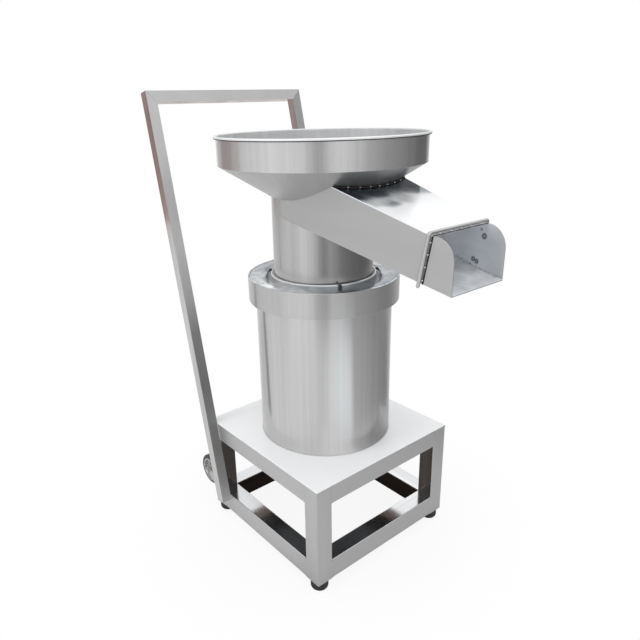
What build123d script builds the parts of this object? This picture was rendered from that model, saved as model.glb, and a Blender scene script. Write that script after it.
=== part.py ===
"""Vibrating powder sieve on a push cart, modelled in millimetres.

The origin is on the floor, on the axis of the barrel. +X points to the outlet chute,
-X to the push handle, +Y to the left of someone who stands at the outlet's back, +Z up.
"""

from build123d import *
import math
import os

os.makedirs("parts", exist_ok=True)

# Cart frame
base_length = 500.0
base_width = 500.0
base_top = 321.0
plate_thickness = 4.0
plate_edge_rounding = 1.5
leg_side = 50.0
tube_wall = 2.0
tube_corner = 3.0
lower_rail_height = 60.0
leg_end_plate = 3.0

# Rubber feet
foot_height = 30.0
foot_radius = 24.0
foot_rounding = 11.0

# Push handle, a leaning frame of square tube
handle_tube = 30.0
handle_wall = 1.5
handle_foot_height = 80.0
handle_foot_setback = 93.5
handle_run = 261.0
handle_top_height = 1265.0
handle_narrowing = 23.0

# Transport wheels and their forks
wheel_radius = 50.0
wheel_width = 28.0
tyre_depth = 12.0
tyre_rounding = 6.0
wheel_axis_height = 87.0
wheel_setback = 78.0
wheel_inset = 25.0
hub_web = 8.0
hub_boss_radius = 13.0
hub_side_play = 1.0
axle_radius = 5.0
axle_head_radius = 8.5
axle_head_height = 6.0
fork_plate = 4.0
fork_cheek = 3.0
fork_eye_radius = 12.0
fork_plate_height = 50.0
running_fit = 0.05

# Barrel and collar
barrel_radius = 187.0
barrel_wall = 2.0
barrel_rise = 467.0
collar_overhang = 19.5
collar_height = 67.5
collar_wall = 2.0
collar_recess = 8.0
collar_lip = 4.0
collar_edge_rounding = 1.2
collar_neck_gap = 6.0
collar_neck_height = 10.0

# Rubber isolation mounts and the studs that guide the sieve head
mount_angles = (57.0, 138.0, 220.0, 335.0)
mount_inset = 38.0
mount_radius = 20.0
mount_height = 40.0
mount_waist = 3.0
mount_ring_drop = 142.0
mount_ring_thickness = 6.0
mount_ring_bore = 110.0
mount_ring_skirt = 20.0
stud_radius = 3.0
stud_clearance = 0.5
stud_tail = 12.0
nut_across_flats = 10.0
nut_hex_height = 6.0
washer_radius = 6.2
washer_thickness = 1.4

# Deck that carries the sieve head on the mounts
deck_side_gap = 13.0
deck_thickness = 8.0
deck_bolt_circle = 120.0
deck_bolt_count = 6
deck_bolt_radius = 4.0
deck_bolt_clearance = 0.4
deck_bolt_head_radius = 7.5
deck_bolt_head_height = 5.5
deck_bolt_tail = 7.0
deck_guide_play = 2.5

# Vibrating drive
motor_radius = 64.0
motor_bore_radius = 42.0
motor_below_deck = 96.0
motor_above_deck = 88.0
motor_end_wall = 12.0
motor_flange_radius = 95.0
motor_flange_thickness = 9.0
motor_rib_depth = 6.0
motor_rib_width = 3.0
motor_rib_count = 24
motor_rib_inset = 12.0
motor_rib_root = 1.0
motor_deck_gap = 1.5
motor_bolt_circle = 84.0
motor_bolt_count = 4
motor_bolt_radius = 5.0
motor_bolt_head_radius = 9.0
motor_bolt_head_height = 7.0
motor_bolt_tail = 9.0
motor_bolt_spot_radius = 12.0
motor_bolt_spot_depth = 14.0
cover_wall = 2.5
cover_height = 46.0
cover_rounding = 12.0
bearing_radius = 28.0
shaft_radius = 15.0
shaft_end_gap = 8.0
rotor_gap = 2.0
rotor_core_height = 90.0
weight_radius = 54.0
weight_thickness = 26.0
weight_hub_radius = 25.0
weight_gap = 6.0

# Upper cylinder
shell_radius = 134.5
shell_wall = 2.0
shell_rise = 209.0
shell_top_band = 8.0
shell_flange_bore = 106.0
shell_flange_thickness = 6.0

# Dish: a cone and a straight band with a rolled rim
dish_radius = 268.0
dish_wall = 2.0
cone_height = 82.0
band_height = 68.0
rim_bead_radius = 3.0

# Lift-out sieve on its ledge
seat_width = 16.0
seat_thickness = 3.0
sieve_side_gap = 0.8
sieve_ring_width = 9.0
sieve_ring_height = 25.0
gasket_thickness = 3.0
mesh_thickness = 1.2
mesh_height = 3.0
mesh_groove = 2.0

# Converging chute
chute_wall = 2.0
chute_front = 493.0
chute_mouth_width = 178.0
chute_floor_drop = 44.0
chute_floor_slope = 0.219
chute_roof_rise = 93.0
chute_roof_slope = 0.284
chute_rear = -3.0
chute_rear_rounding = 16.0
spout_length = 52.0
spout_rounding = 49.0
spout_front_lean = 1.5
window_rear = 26.0

# Hoop of bent rod round the chute
hoop_rod_radius = 4.0
hoop_setback = 5.0
hoop_lean = 10.7
hoop_bend_radius = 6.0
hoop_gap = 0.6
hoop_end_rounding = 2.5
hoop_leg_tail = 10.0

# Switch and cable gland on the back of the barrel
switch_rise = 104.0
switch_width = 22.0
switch_length = 32.0
switch_plate = 3.0
switch_body_width = 17.0
switch_body_length = 26.0
switch_body_depth = 16.0
switch_hole_width = 14.0
switch_hole_length = 23.0
switch_back = 2.0
rocker_length = 21.0
rocker_side_play = 0.3
rocker_swing = 8.0
rocker_pin_radius = 1.25
rocker_pin_reach = 1.0
panel_clearance = 0.3
gland_rise = 41.0
gland_hex = 22.0
gland_hex_height = 6.0
gland_nose_radius = 8.5
gland_nose_height = 12.0
gland_bore_radius = 4.0
gland_inner_radius = 5.5
gland_seat = 0.5
gland_thread_radius = 8.0
gland_thread_length = 14.0
gland_nut_height = 5.0


def ring(outer, inner, bottom, top):
    """A plain ring about the Z axis."""
    solid = Cylinder(outer, top - bottom) - Cylinder(inner, top - bottom)
    return Pos(0, 0, (bottom + top) / 2) * solid


def disc(radius, bottom, top):
    """A solid cylinder about the Z axis."""
    return Pos(0, 0, (bottom + top) / 2) * Cylinder(radius, top - bottom)


def turned(*profile):
    """Revolves a closed outline of (radius, height) points about the Z axis."""
    outline = Polyline(*[(radius, 0, height) for radius, height in profile], close=True)
    return revolve(make_face(outline), Axis.Z)


def prism(plane, points, depth, both=False):
    """Pulls a closed outline out of a plane along its normal."""
    outline = make_face(Polyline(*points, close=True))
    return extrude(plane * outline, amount=depth, dir=plane.z_dir, both=both)


def box_tube(length_x, length_y, length_z, wall, open_axis):
    """A rectangular tube, centred, that is open along one axis."""
    sizes = [length_x, length_y, length_z]
    cavity = [size - 2 * wall for size in sizes]
    cavity[open_axis] = sizes[open_axis]
    outside = Box(*sizes)
    long_edges = outside.edges().filter_by([Axis.X, Axis.Y, Axis.Z][open_axis])
    return fillet(long_edges, tube_corner) - Box(*cavity)


def round_the_axis(count, radius, start_angle=0.0):
    """Places on a circle about the Z axis."""
    return PolarLocations(radius, count, start_angle)


def copies(places, solid):
    """The same solid at each place."""
    return Part() + [place * solid for place in places]


# Cart frame
leg_offset_x = (base_length - leg_side) / 2
leg_offset_y = (base_width - leg_side) / 2
plate_bottom = base_top - plate_thickness
leg_height = plate_bottom - foot_height
rail_length_x = base_length - 2 * leg_side
rail_length_y = base_width - 2 * leg_side


def leg():
    """Square tube closed at the bottom by a plate that takes the foot."""
    tube = box_tube(leg_side, leg_side, leg_height, tube_wall, 2)
    cavity_side = leg_side - 2 * tube_wall
    end_plate = Box(cavity_side, cavity_side, leg_end_plate)
    plate_place = Pos(0, 0, (leg_end_plate - leg_height) / 2)
    return Pos(0, 0, foot_height + leg_height / 2) * (tube + plate_place * end_plate)


def foot():
    """Rubber foot with a rounded tread."""
    body = Pos(0, 0, foot_height / 2) * Cylinder(foot_radius, foot_height)
    return fillet(body.edges().sort_by(Axis.Z)[0], foot_rounding)


def side_rail(height):
    """Rail along X, between two legs."""
    return box_tube(rail_length_x, leg_side, height, tube_wall, 0)


def cross_rail(height):
    """Rail along Y, between two legs."""
    return box_tube(leg_side, rail_length_y, height, tube_wall, 1)


def top_plate():
    """Square sheet that closes the top of the cart."""
    sheet = Box(base_length, base_width, plate_thickness)
    top_edges = sheet.faces().sort_by(Axis.Z)[-1].edges()
    return Pos(0, 0, base_top - plate_thickness / 2) * fillet(top_edges, plate_edge_rounding)


# Push handle
handle_foot_front = handle_foot_setback - base_length / 2
handle_rise = handle_top_height - handle_foot_height
handle_lean = math.atan2(handle_run, handle_rise)
handle_length = math.hypot(handle_rise, handle_run)
handle_plane = Plane(
    origin=(handle_foot_front, 0, handle_foot_height),
    x_dir=(0, 1, 0),
    z_dir=(math.cos(handle_lean), 0, math.sin(handle_lean)),
)
handle_joint_rise = base_top - handle_foot_height + handle_tube * math.sin(handle_lean)
handle_joint = handle_joint_rise / math.cos(handle_lean)
handle_spread = handle_narrowing / 2 / (handle_length - handle_joint)


def handle_inner(distance):
    """Inner half width of the handle, a distance up from its foot."""
    return base_width / 2 + (handle_joint - distance) * handle_spread


def handle_outer(distance):
    """Outer half width of the handle, a distance up from its foot."""
    return handle_inner(distance) + handle_tube


def mitred_tube(outer_start, outer_end, inner_end, inner_start):
    """Square tube in the plane of the handle, open at its two cut ends."""
    share = handle_wall / handle_tube

    def between(first, last, part):
        return tuple(a + (b - a) * part for a, b in zip(first, last))

    cavity = [
        between(outer_start, inner_start, share),
        between(outer_end, inner_end, share),
        between(outer_end, inner_end, 1 - share),
        between(outer_start, inner_start, 1 - share),
    ]
    outside = prism(handle_plane, [outer_start, outer_end, inner_end, inner_start], -handle_tube)
    inside = prism(handle_plane.offset(-handle_wall), cavity, 2 * handle_wall - handle_tube)
    return outside - inside


def handle_post(side):
    """Leaning post, welded to the side of the cart."""
    inner_top = handle_length - handle_tube
    return mitred_tube(
        (side * handle_outer(0), 0),
        (side * handle_outer(handle_length), handle_length),
        (side * handle_inner(inner_top), inner_top),
        (side * handle_inner(0), 0),
    )


def handle_top_bar():
    """Cross bar, mitred to the two posts."""
    inner_top = handle_length - handle_tube
    return mitred_tube(
        (-handle_outer(handle_length), handle_length),
        (handle_outer(handle_length), handle_length),
        (handle_inner(inner_top), inner_top),
        (-handle_inner(inner_top), inner_top),
    )


# Transport wheels
cart_back = -base_length / 2
wheel_axis_x = cart_back - wheel_setback
wheel_centre_y = base_width / 2 - wheel_inset - wheel_width / 2
hub_radius = wheel_radius - tyre_depth
boss_half_width = wheel_width / 2 + 2.0
cheek_inner_y = boss_half_width + hub_side_play
cheek_outer_y = cheek_inner_y + fork_cheek


def at_wheel(side, solid):
    """Turns a solid about Z into one about the wheel's axle."""
    return Pos(wheel_axis_x, side * wheel_centre_y, wheel_axis_height) * Rot(90, 0, 0) * solid


def tyre():
    """Solid rubber tyre with rounded shoulders."""
    body = ring(wheel_radius, hub_radius, -wheel_width / 2, wheel_width / 2)
    shoulders = body.edges().filter_by(GeomType.CIRCLE).group_by(SortBy.RADIUS)[-1]
    return fillet(shoulders, tyre_rounding)


def hub():
    """Wheel centre with a rim, a thin web and a boss for the axle."""
    rim = ring(hub_radius, hub_radius - 4.0, -wheel_width / 2, wheel_width / 2)
    web = ring(hub_radius, axle_radius + running_fit, -hub_web / 2, hub_web / 2)
    boss = ring(hub_boss_radius, axle_radius + running_fit, -boss_half_width, boss_half_width)
    return rim + web + boss


def axle():
    """Bolt through the fork, with its head on one cheek and its nut on the other."""
    shank = Cylinder(axle_radius, 2 * cheek_outer_y)
    head_place = cheek_outer_y + axle_head_height / 2
    head = extrude(RegularPolygon(axle_head_radius, 6), amount=axle_head_height / 2, both=True)
    return shank + Pos(0, 0, head_place) * head + Pos(0, 0, -head_place) * head


def wheel_fork(side):
    """Fork bolted to the cart's lower rear rail, with an eye for the axle in each cheek."""
    plate_middle = foot_height + lower_rail_height / 2
    plate_low = plate_middle - fork_plate_height / 2
    plate_high = plate_middle + fork_plate_height / 2
    plate_face = cart_back - fork_plate
    cheek = prism(
        Plane.XZ,
        [
            (plate_face, plate_high),
            (wheel_axis_x, wheel_axis_height + fork_eye_radius),
            (wheel_axis_x, wheel_axis_height - fork_eye_radius),
            (plate_face, plate_low),
        ],
        fork_cheek,
    )
    eye_place = Pos(wheel_axis_x, 0, wheel_axis_height) * Rot(90, 0, 0)
    eye = Cylinder(fork_eye_radius, fork_cheek, align=(Align.CENTER, Align.CENTER, Align.MIN))
    bore = Cylinder(axle_radius, fork_cheek, align=(Align.CENTER, Align.CENTER, Align.MIN))
    cheek = cheek + eye_place * eye - eye_place * bore
    middle = side * wheel_centre_y
    plate = Pos(cart_back - fork_plate / 2, middle, plate_middle) * Box(
        fork_plate, 2 * cheek_outer_y, fork_plate_height
    )
    outer_cheek = Pos(0, middle + cheek_outer_y, 0) * cheek
    inner_cheek = Pos(0, middle - cheek_inner_y, 0) * cheek
    return plate + outer_cheek + inner_cheek


# Barrel, collar, isolation mounts
collar_radius = barrel_radius + collar_overhang
collar_top = base_top + barrel_rise
collar_bottom = collar_top - collar_height
shell_top = collar_top + shell_rise
collar_sheet_top = collar_top - collar_recess
collar_sheet_bottom = collar_sheet_top - collar_wall
collar_bore = shell_radius + collar_neck_gap
mount_ring_top = collar_top - mount_ring_drop
mount_ring_bottom = mount_ring_top - mount_ring_thickness
deck_bottom = mount_ring_top + mount_height
deck_top = deck_bottom + deck_thickness
deck_radius = barrel_radius - barrel_wall - deck_side_gap
mount_places = [Rot(0, 0, angle) * Pos(barrel_radius - mount_inset, 0, 0) for angle in mount_angles]
stud_bore = stud_radius + stud_clearance


def barrel():
    """Lower cylinder with cut-outs for the switch and the cable gland."""
    shell = ring(barrel_radius, barrel_radius - barrel_wall, base_top, collar_sheet_bottom)
    switch_cut = switch_place * Box(
        4 * barrel_wall + 10,
        switch_body_width + 2 * panel_clearance,
        switch_body_length + 2 * panel_clearance,
    )
    gland_cut = gland_place * Pos(0, 0, barrel_radius) * Cylinder(
        gland_thread_radius + panel_clearance, 4 * barrel_wall + 10
    )
    return shell - switch_cut - gland_cut


def collar():
    """Drum-shaped cap on the barrel with a recessed top sheet and an upturned neck."""
    body = turned(
        (barrel_radius, collar_bottom),
        (collar_radius, collar_bottom),
        (collar_radius, collar_top),
        (collar_radius - collar_lip, collar_top),
        (collar_radius - collar_lip, collar_sheet_top),
        (collar_bore + collar_wall, collar_sheet_top),
        (collar_bore + collar_wall, collar_sheet_top + collar_neck_height),
        (collar_bore, collar_sheet_top + collar_neck_height),
        (collar_bore, collar_sheet_bottom),
        (collar_radius - collar_wall, collar_sheet_bottom),
        (collar_radius - collar_wall, collar_bottom + collar_wall),
        (barrel_radius, collar_bottom + collar_wall),
    )
    rim = body.edges().filter_by(GeomType.CIRCLE).group_by(SortBy.RADIUS)[-1]
    body = fillet(rim, collar_edge_rounding)
    sheet_middle = (collar_sheet_top + collar_sheet_bottom) / 2
    holes = copies(mount_places, Cylinder(stud_bore, 2 * collar_wall))
    return body - Pos(0, 0, sheet_middle) * holes


def mount_ring():
    """Ring inside the barrel that the rubber mounts stand on."""
    outer = barrel_radius - barrel_wall
    plate = ring(outer, mount_ring_bore, mount_ring_bottom, mount_ring_top)
    skirt = ring(outer, outer - barrel_wall, mount_ring_bottom - mount_ring_skirt, mount_ring_bottom)
    holes = copies(mount_places, Cylinder(stud_bore, 3 * mount_ring_thickness))
    return plate + skirt - Pos(0, 0, mount_ring_top) * holes


def isolation_mounts():
    """Four waisted rubber blocks with a bore for the guide studs."""
    half = mount_height / 2
    outline = Line((stud_bore, 0, -half), (mount_radius, 0, -half))
    waist = ThreePointArc(outline @ 1, (mount_radius - mount_waist, 0, 0), (mount_radius, 0, half))
    top = Line(waist @ 1, (stud_bore, 0, half))
    bore = Line(top @ 1, outline @ 0)
    block = revolve(make_face([outline, waist, top, bore]), Axis.Z)
    return Pos(0, 0, mount_ring_top + half) * copies(mount_places, block)


def guide_studs():
    """Four studs from below the mount ring to the cap nuts, with a thin nut under the ring."""
    bottom = mount_ring_bottom - stud_tail
    top = collar_sheet_top + washer_thickness
    stud = Cylinder(stud_radius, top - bottom, align=(Align.CENTER, Align.CENTER, Align.MIN))
    lower_nut = extrude(RegularPolygon(nut_across_flats / 2, 6, major_radius=False), nut_hex_height)
    lower_nut = Pos(0, 0, stud_tail - nut_hex_height) * lower_nut
    return Pos(0, 0, bottom) * copies(mount_places, stud + lower_nut)


def guide_nuts():
    """Four cap nuts with washers on the top sheet of the collar."""
    washer = ring(washer_radius, stud_radius, 0, washer_thickness)
    hexagon = extrude(RegularPolygon(nut_across_flats / 2, 6, major_radius=False), nut_hex_height)
    dome = Pos(0, 0, nut_hex_height) * Sphere(nut_across_flats / 2)
    dome = dome & Pos(0, 0, nut_hex_height + nut_across_flats / 2) * Box(
        nut_across_flats, nut_across_flats, nut_across_flats
    )
    nut = washer + Pos(0, 0, washer_thickness) * (hexagon + dome)
    return Pos(0, 0, collar_sheet_top) * copies(mount_places, nut)


# Deck and drive
motor_bottom = deck_bottom - motor_below_deck
motor_top = deck_bottom + motor_above_deck
motor_flange_bottom = deck_bottom - motor_flange_thickness
shaft_bottom = motor_bottom - cover_height + cover_wall + shaft_end_gap
shaft_top = motor_top + cover_height - cover_wall - shaft_end_gap
deck_bolt_places = round_the_axis(deck_bolt_count, deck_bolt_circle)
motor_bolt_places = round_the_axis(motor_bolt_count, motor_bolt_circle, 45)


def bolt(radius, head_radius, head_height, grip, tail):
    """Hexagon bolt that points up: its head ends at height 0, its nut starts at the grip."""
    shank = Cylinder(radius, grip + tail, align=(Align.CENTER, Align.CENTER, Align.MIN))
    head = Pos(0, 0, -head_height) * extrude(RegularPolygon(head_radius, 6), head_height)
    nut = Pos(0, 0, grip) * extrude(RegularPolygon(head_radius, 6), head_height)
    return shank + head + nut


def deck():
    """Round plate that the drive hangs from and the upper cylinder stands on."""
    plate = ring(deck_radius, motor_radius + motor_deck_gap, deck_bottom, deck_top)
    stud_holes = copies(mount_places, Cylinder(stud_radius + deck_guide_play, 3 * deck_thickness))
    deck_holes = copies(
        deck_bolt_places, Cylinder(deck_bolt_radius + deck_bolt_clearance, 3 * deck_thickness)
    )
    motor_holes = copies(
        motor_bolt_places, Cylinder(motor_bolt_radius + deck_bolt_clearance, 3 * deck_thickness)
    )
    return plate - Pos(0, 0, deck_bottom) * (stud_holes + deck_holes + motor_holes)


def deck_bolts():
    """Bolts that hold the upper cylinder's flange on the deck."""
    grip = deck_thickness + shell_flange_thickness
    screw = bolt(deck_bolt_radius, deck_bolt_head_radius, deck_bolt_head_height, grip, deck_bolt_tail)
    return Pos(0, 0, deck_bottom) * copies(deck_bolt_places, screw)


def motor_bolts():
    """Bolts that hold the motor's flange under the deck."""
    grip = motor_flange_thickness + deck_thickness
    screw = bolt(
        motor_bolt_radius, motor_bolt_head_radius, motor_bolt_head_height, grip, motor_bolt_tail
    )
    return Pos(0, 0, motor_flange_bottom) * copies(motor_bolt_places, screw)


def motor_housing():
    """Cast housing with a flange, cooling ribs below it and a bearing seat at each end."""
    body = turned(
        (bearing_radius, motor_bottom),
        (motor_radius, motor_bottom),
        (motor_radius, motor_flange_bottom),
        (motor_flange_radius, motor_flange_bottom),
        (motor_flange_radius, deck_bottom),
        (motor_radius, deck_bottom),
        (motor_radius, motor_top),
        (bearing_radius, motor_top),
        (bearing_radius, motor_top - motor_end_wall),
        (motor_bore_radius, motor_top - motor_end_wall),
        (motor_bore_radius, motor_bottom + motor_end_wall),
        (bearing_radius, motor_bottom + motor_end_wall),
    )
    rib_bottom = motor_bottom + motor_rib_inset
    rib_height = motor_flange_bottom - rib_bottom
    rib = Box(motor_rib_depth + 2 * motor_rib_root, motor_rib_width, rib_height)
    ribs = copies(round_the_axis(motor_rib_count, motor_radius + motor_rib_depth / 2), rib)
    ribs = Pos(0, 0, rib_bottom + rib_height / 2) * ribs
    holes = copies(
        motor_bolt_places, Cylinder(motor_bolt_radius + deck_bolt_clearance, 3 * motor_flange_thickness)
    )
    clear_of_heads = copies(
        motor_bolt_places, Cylinder(motor_bolt_spot_radius, motor_bolt_spot_depth)
    )
    heads_place = Pos(0, 0, motor_flange_bottom - motor_bolt_spot_depth / 2)
    return body + (ribs - heads_place * clear_of_heads) - Pos(0, 0, deck_bottom) * holes


def weight_covers():
    """Pressed cups over the two eccentric weights, open towards the motor."""
    cup = Cylinder(motor_radius, cover_height, align=(Align.CENTER, Align.CENTER, Align.MIN))
    cup = fillet(cup.edges().sort_by(Axis.Z)[-1], cover_rounding)
    inner_radius = motor_radius - cover_wall
    cavity = Cylinder(
        inner_radius, cover_height - cover_wall, align=(Align.CENTER, Align.CENTER, Align.MIN)
    )
    cavity = fillet(cavity.edges().sort_by(Axis.Z)[-1], cover_rounding - cover_wall)
    cup = cup - cavity
    return Pos(0, 0, motor_top) * cup + Pos(0, 0, motor_bottom) * Rot(180, 0, 0) * cup


def bearings():
    """Upper and lower shaft bearings as plain rings."""
    bore = shaft_radius + running_fit
    lower = ring(bearing_radius, bore, motor_bottom, motor_bottom + motor_end_wall)
    upper = ring(bearing_radius, bore, motor_top - motor_end_wall, motor_top)
    return lower + upper


def motor_shaft():
    """Shaft with chamfered ends."""
    shaft = Cylinder(shaft_radius, shaft_top - shaft_bottom)
    shaft = chamfer(shaft.edges().filter_by(GeomType.CIRCLE), 1.5)
    return Pos(0, 0, (shaft_top + shaft_bottom) / 2) * shaft


def rotor_core():
    """Laminated core between the bearings."""
    middle = (motor_bottom + motor_top) / 2
    low = middle - rotor_core_height / 2
    return ring(motor_bore_radius - rotor_gap, shaft_radius, low, low + rotor_core_height)


def eccentric_weight(bottom, angle):
    """Half disc on a hub, which throws the head as the shaft turns."""
    top = bottom + weight_thickness
    disc = ring(weight_radius, shaft_radius, bottom, top)
    half = Pos(weight_radius, 0, (bottom + top) / 2) * Box(
        2 * weight_radius, 2 * weight_radius, weight_thickness
    )
    hub_ring = ring(weight_hub_radius, shaft_radius, bottom, top)
    return Rot(0, 0, angle) * ((disc & half) + hub_ring)


# Dish
cone_top = shell_top + cone_height
band_top = cone_top + band_height
cone_slope = math.atan2(cone_top - shell_top, dish_radius - shell_radius)
cone_offset = dish_wall / math.sin(cone_slope)
cone_foot_bore = shell_radius - cone_offset
seat_bore = shell_radius - shell_wall - seat_width


def above_cone():
    """Everything inside and above the cone's outer surface."""
    return turned(
        (0, shell_top),
        (shell_radius, shell_top),
        (dish_radius, cone_top),
        (dish_radius, band_top),
        (0, band_top),
    )


def hopper_cone():
    """Rolled cone between the upper cylinder and the band."""
    return turned(
        (cone_foot_bore, shell_top),
        (shell_radius, shell_top),
        (dish_radius, cone_top),
        (dish_radius - cone_offset, cone_top),
    )


def hopper_band():
    """Straight band of the dish with its rolled rim."""
    band = ring(dish_radius, dish_radius - dish_wall, cone_top, band_top)
    bead_circle = dish_radius - dish_wall / 2 + rim_bead_radius - dish_wall / 2
    bead = Pos(0, 0, band_top) * Torus(bead_circle, rim_bead_radius)
    return band + bead


def sieve_seat():
    """Ledge inside the foot of the cone that the sieve rests on."""
    return ring(shell_radius - shell_wall, seat_bore, shell_top - seat_thickness, shell_top)


# Lift-out sieve
sieve_radius = cone_foot_bore - sieve_side_gap
sieve_bore = sieve_radius - sieve_ring_width
sieve_ring_bottom = shell_top + gasket_thickness
mesh_bottom = sieve_ring_bottom + mesh_height
mesh_radius = sieve_bore + mesh_groove


def sieve_gasket():
    """Flat rubber ring under the sieve frame."""
    return ring(sieve_radius, sieve_bore, shell_top, sieve_ring_bottom)


def sieve_frame():
    """Ring that holds the mesh in a groove."""
    body = ring(sieve_radius, sieve_bore, sieve_ring_bottom, sieve_ring_bottom + sieve_ring_height)
    top_edges = body.faces().sort_by(Axis.Z)[-1].edges()
    body = fillet(top_edges, 1.5)
    return body - sieve_mesh()


def sieve_mesh():
    """Screen cloth as one thin disc."""
    return Pos(0, 0, mesh_bottom + mesh_thickness / 2) * Cylinder(mesh_radius, mesh_thickness)


# Chute
chute_floor_height = shell_top - chute_floor_drop
chute_roof_height = shell_top + chute_roof_rise
chute_roof_end = chute_front - spout_length
hoop_top_x = chute_roof_end - hoop_setback
chute_side_distance = shell_radius + chute_wall
chute_corner = math.hypot(chute_front, chute_mouth_width / 2)
chute_corner_angle = math.atan2(chute_mouth_width / 2, chute_front)
chute_taper = math.asin(chute_side_distance / chute_corner) - chute_corner_angle


def chute_half_width(x, distance):
    """Half width of the chute at x, for a side face at that distance from the barrel's axis."""
    return distance / math.cos(chute_taper) - x * math.tan(chute_taper)


def floor_line(x):
    """Height of the floor's underside."""
    return chute_floor_height - chute_floor_slope * x


def roof_line(x):
    """Height of the roof's upper face."""
    return chute_roof_height - chute_roof_slope * x


def between_sides(start, end, distance):
    """Tapering block between the chute's sides, over its full height."""
    block = prism(
        Plane.XY,
        [
            (start, -chute_half_width(start, distance)),
            (end, -chute_half_width(end, distance)),
            (end, chute_half_width(end, distance)),
            (start, chute_half_width(start, distance)),
        ],
        chute_roof_height,
    )
    return block


def sloping_sheet(line, start, end, offset):
    """Sheet that follows a line of heights along the chute, a sheet's thickness tall."""
    return prism(
        Plane.XZ,
        [
            (start, line(start) + offset),
            (end, line(end) + offset),
            (end, line(end) + offset + chute_wall),
            (start, line(start) + offset + chute_wall),
        ],
        2 * shell_radius,
        both=True,
    )


def chute_side(side):
    """Side plate, tangent to the upper cylinder and cut to the underside of the cone."""
    crown = chute_half_width(0, shell_radius)
    outline = make_face(
        Polyline(
            (chute_rear, floor_line(chute_rear)),
            (chute_front - spout_front_lean, floor_line(chute_front - spout_front_lean)),
            (chute_front, roof_line(chute_roof_end)),
            (chute_roof_end, roof_line(chute_roof_end)),
            (chute_roof_end, roof_line(chute_roof_end) - chute_wall),
            (crown, roof_line(crown) - chute_wall),
            (shell_radius * math.sin(chute_taper), shell_top),
            (chute_rear, shell_top),
            close=True,
        )
    )
    rear_corners = outline.vertices().group_by(Axis.X)[0]
    outline = fillet(rear_corners, chute_rear_rounding)
    spout_corner = outline.vertices().group_by(Axis.X)[-1]
    outline = fillet(spout_corner, spout_rounding)
    block = extrude(Plane.XZ * outline, amount=2 * shell_radius, dir=(0, 1, 0), both=True)
    middle = side * (shell_radius + chute_wall / 2)
    sheet = Pos(0, middle, chute_floor_height) * Box(4 * chute_front, chute_wall, chute_front)
    return (Rot(0, 0, -side * math.degrees(chute_taper)) * sheet & block) - above_cone()


def chute_floor():
    """Floor between the side plates, from the window in the cylinder to the spout."""
    end = chute_front - spout_front_lean
    sheet = sloping_sheet(floor_line, window_rear, end, 0)
    sheet = sheet & between_sides(window_rear, end, shell_radius)
    return sheet - disc(shell_radius - shell_wall, 0, shell_top)


def chute_roof():
    """Roof on the side plates, cut to the cone."""
    start = shell_radius
    sheet = sloping_sheet(roof_line, start, chute_roof_end, -chute_wall)
    sheet = sheet & between_sides(start, chute_roof_end, chute_side_distance)
    return sheet - above_cone()


def discharge_pan():
    """Sloping disc inside the upper cylinder, in line with the chute's floor."""
    inner = shell_radius - shell_wall
    sheet = sloping_sheet(floor_line, -shell_radius, shell_radius, 0)
    return sheet & disc(inner, 0, shell_top)


def body_shell():
    """Upper cylinder with its bottom flange and the window to the chute."""
    inner = shell_radius - shell_wall
    shell = ring(shell_radius, inner, deck_top, shell_top)
    flange = ring(inner, shell_flange_bore, deck_top, deck_top + shell_flange_thickness)
    window_top = shell_top - shell_top_band
    window = prism(
        Plane.XZ,
        [
            (window_rear, floor_line(window_rear)),
            (2 * shell_radius, floor_line(2 * shell_radius)),
            (2 * shell_radius, window_top),
            (window_rear, window_top),
        ],
        2 * shell_radius,
        both=True,
    )
    holes = copies(
        deck_bolt_places, Cylinder(deck_bolt_radius + deck_bolt_clearance, 3 * deck_thickness)
    )
    return shell + flange - window - Pos(0, 0, deck_top) * holes


def chute_hoop():
    """Rod bent round the roof and both sides, square to the floor, with rounded ends."""
    rod_stand_off = hoop_rod_radius + hoop_gap
    top_z = roof_line(hoop_top_x) + rod_stand_off * math.hypot(1, chute_roof_slope)
    tilt = math.tan(math.radians(hoop_lean))
    foot_x = hoop_top_x
    for _ in range(4):
        foot_z = floor_line(foot_x) - hoop_leg_tail
        foot_x = hoop_top_x - (top_z - foot_z) * tilt
    rod_distance = chute_side_distance + rod_stand_off
    foot_y = chute_half_width(foot_x, rod_distance)
    top_y = chute_half_width(hoop_top_x, rod_distance)
    path = FilletPolyline(
        (foot_x, -foot_y, foot_z),
        (hoop_top_x, -top_y, top_z),
        (hoop_top_x, top_y, top_z),
        (foot_x, foot_y, foot_z),
        radius=hoop_bend_radius,
    )
    start = Plane(origin=path @ 0, z_dir=path % 0)
    rod = sweep(start * Circle(hoop_rod_radius), path=path)
    return fillet(rod.edges().group_by(Axis.Z)[0], hoop_end_rounding)


# Switch and cable gland
switch_place = Pos(-barrel_radius, 0, base_top + switch_rise)
gland_place = Pos(0, 0, base_top + gland_rise) * Rot(0, -90, 0)
rocker_pivot_out = 1.0


def switch_bezel():
    """Frame of the rocker switch, cut to the barrel's curve, with a closed body inside."""
    plate = Box(2 * switch_plate, switch_width, switch_length)
    plate = fillet(plate.edges().filter_by(Axis.X), 3.0)
    plate = switch_place * plate - disc(barrel_radius, base_top, collar_bottom)
    body = Box(
        switch_body_depth + switch_plate,
        switch_body_width,
        switch_body_length,
        align=(Align.MIN, Align.CENTER, Align.CENTER),
    )
    hole = Box(
        switch_body_depth + switch_plate - switch_back,
        switch_hole_width,
        switch_hole_length,
        align=(Align.MIN, Align.CENTER, Align.CENTER),
    )
    pin_hole = Rot(90, 0, 0) * Cylinder(
        rocker_pin_radius + running_fit, switch_hole_width + 2 * rocker_pin_reach + 2 * running_fit
    )
    front = switch_place * Pos(-switch_plate, 0, 0)
    return plate + front * body - front * hole - switch_place * Pos(-rocker_pivot_out, 0, 0) * pin_hole


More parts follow.
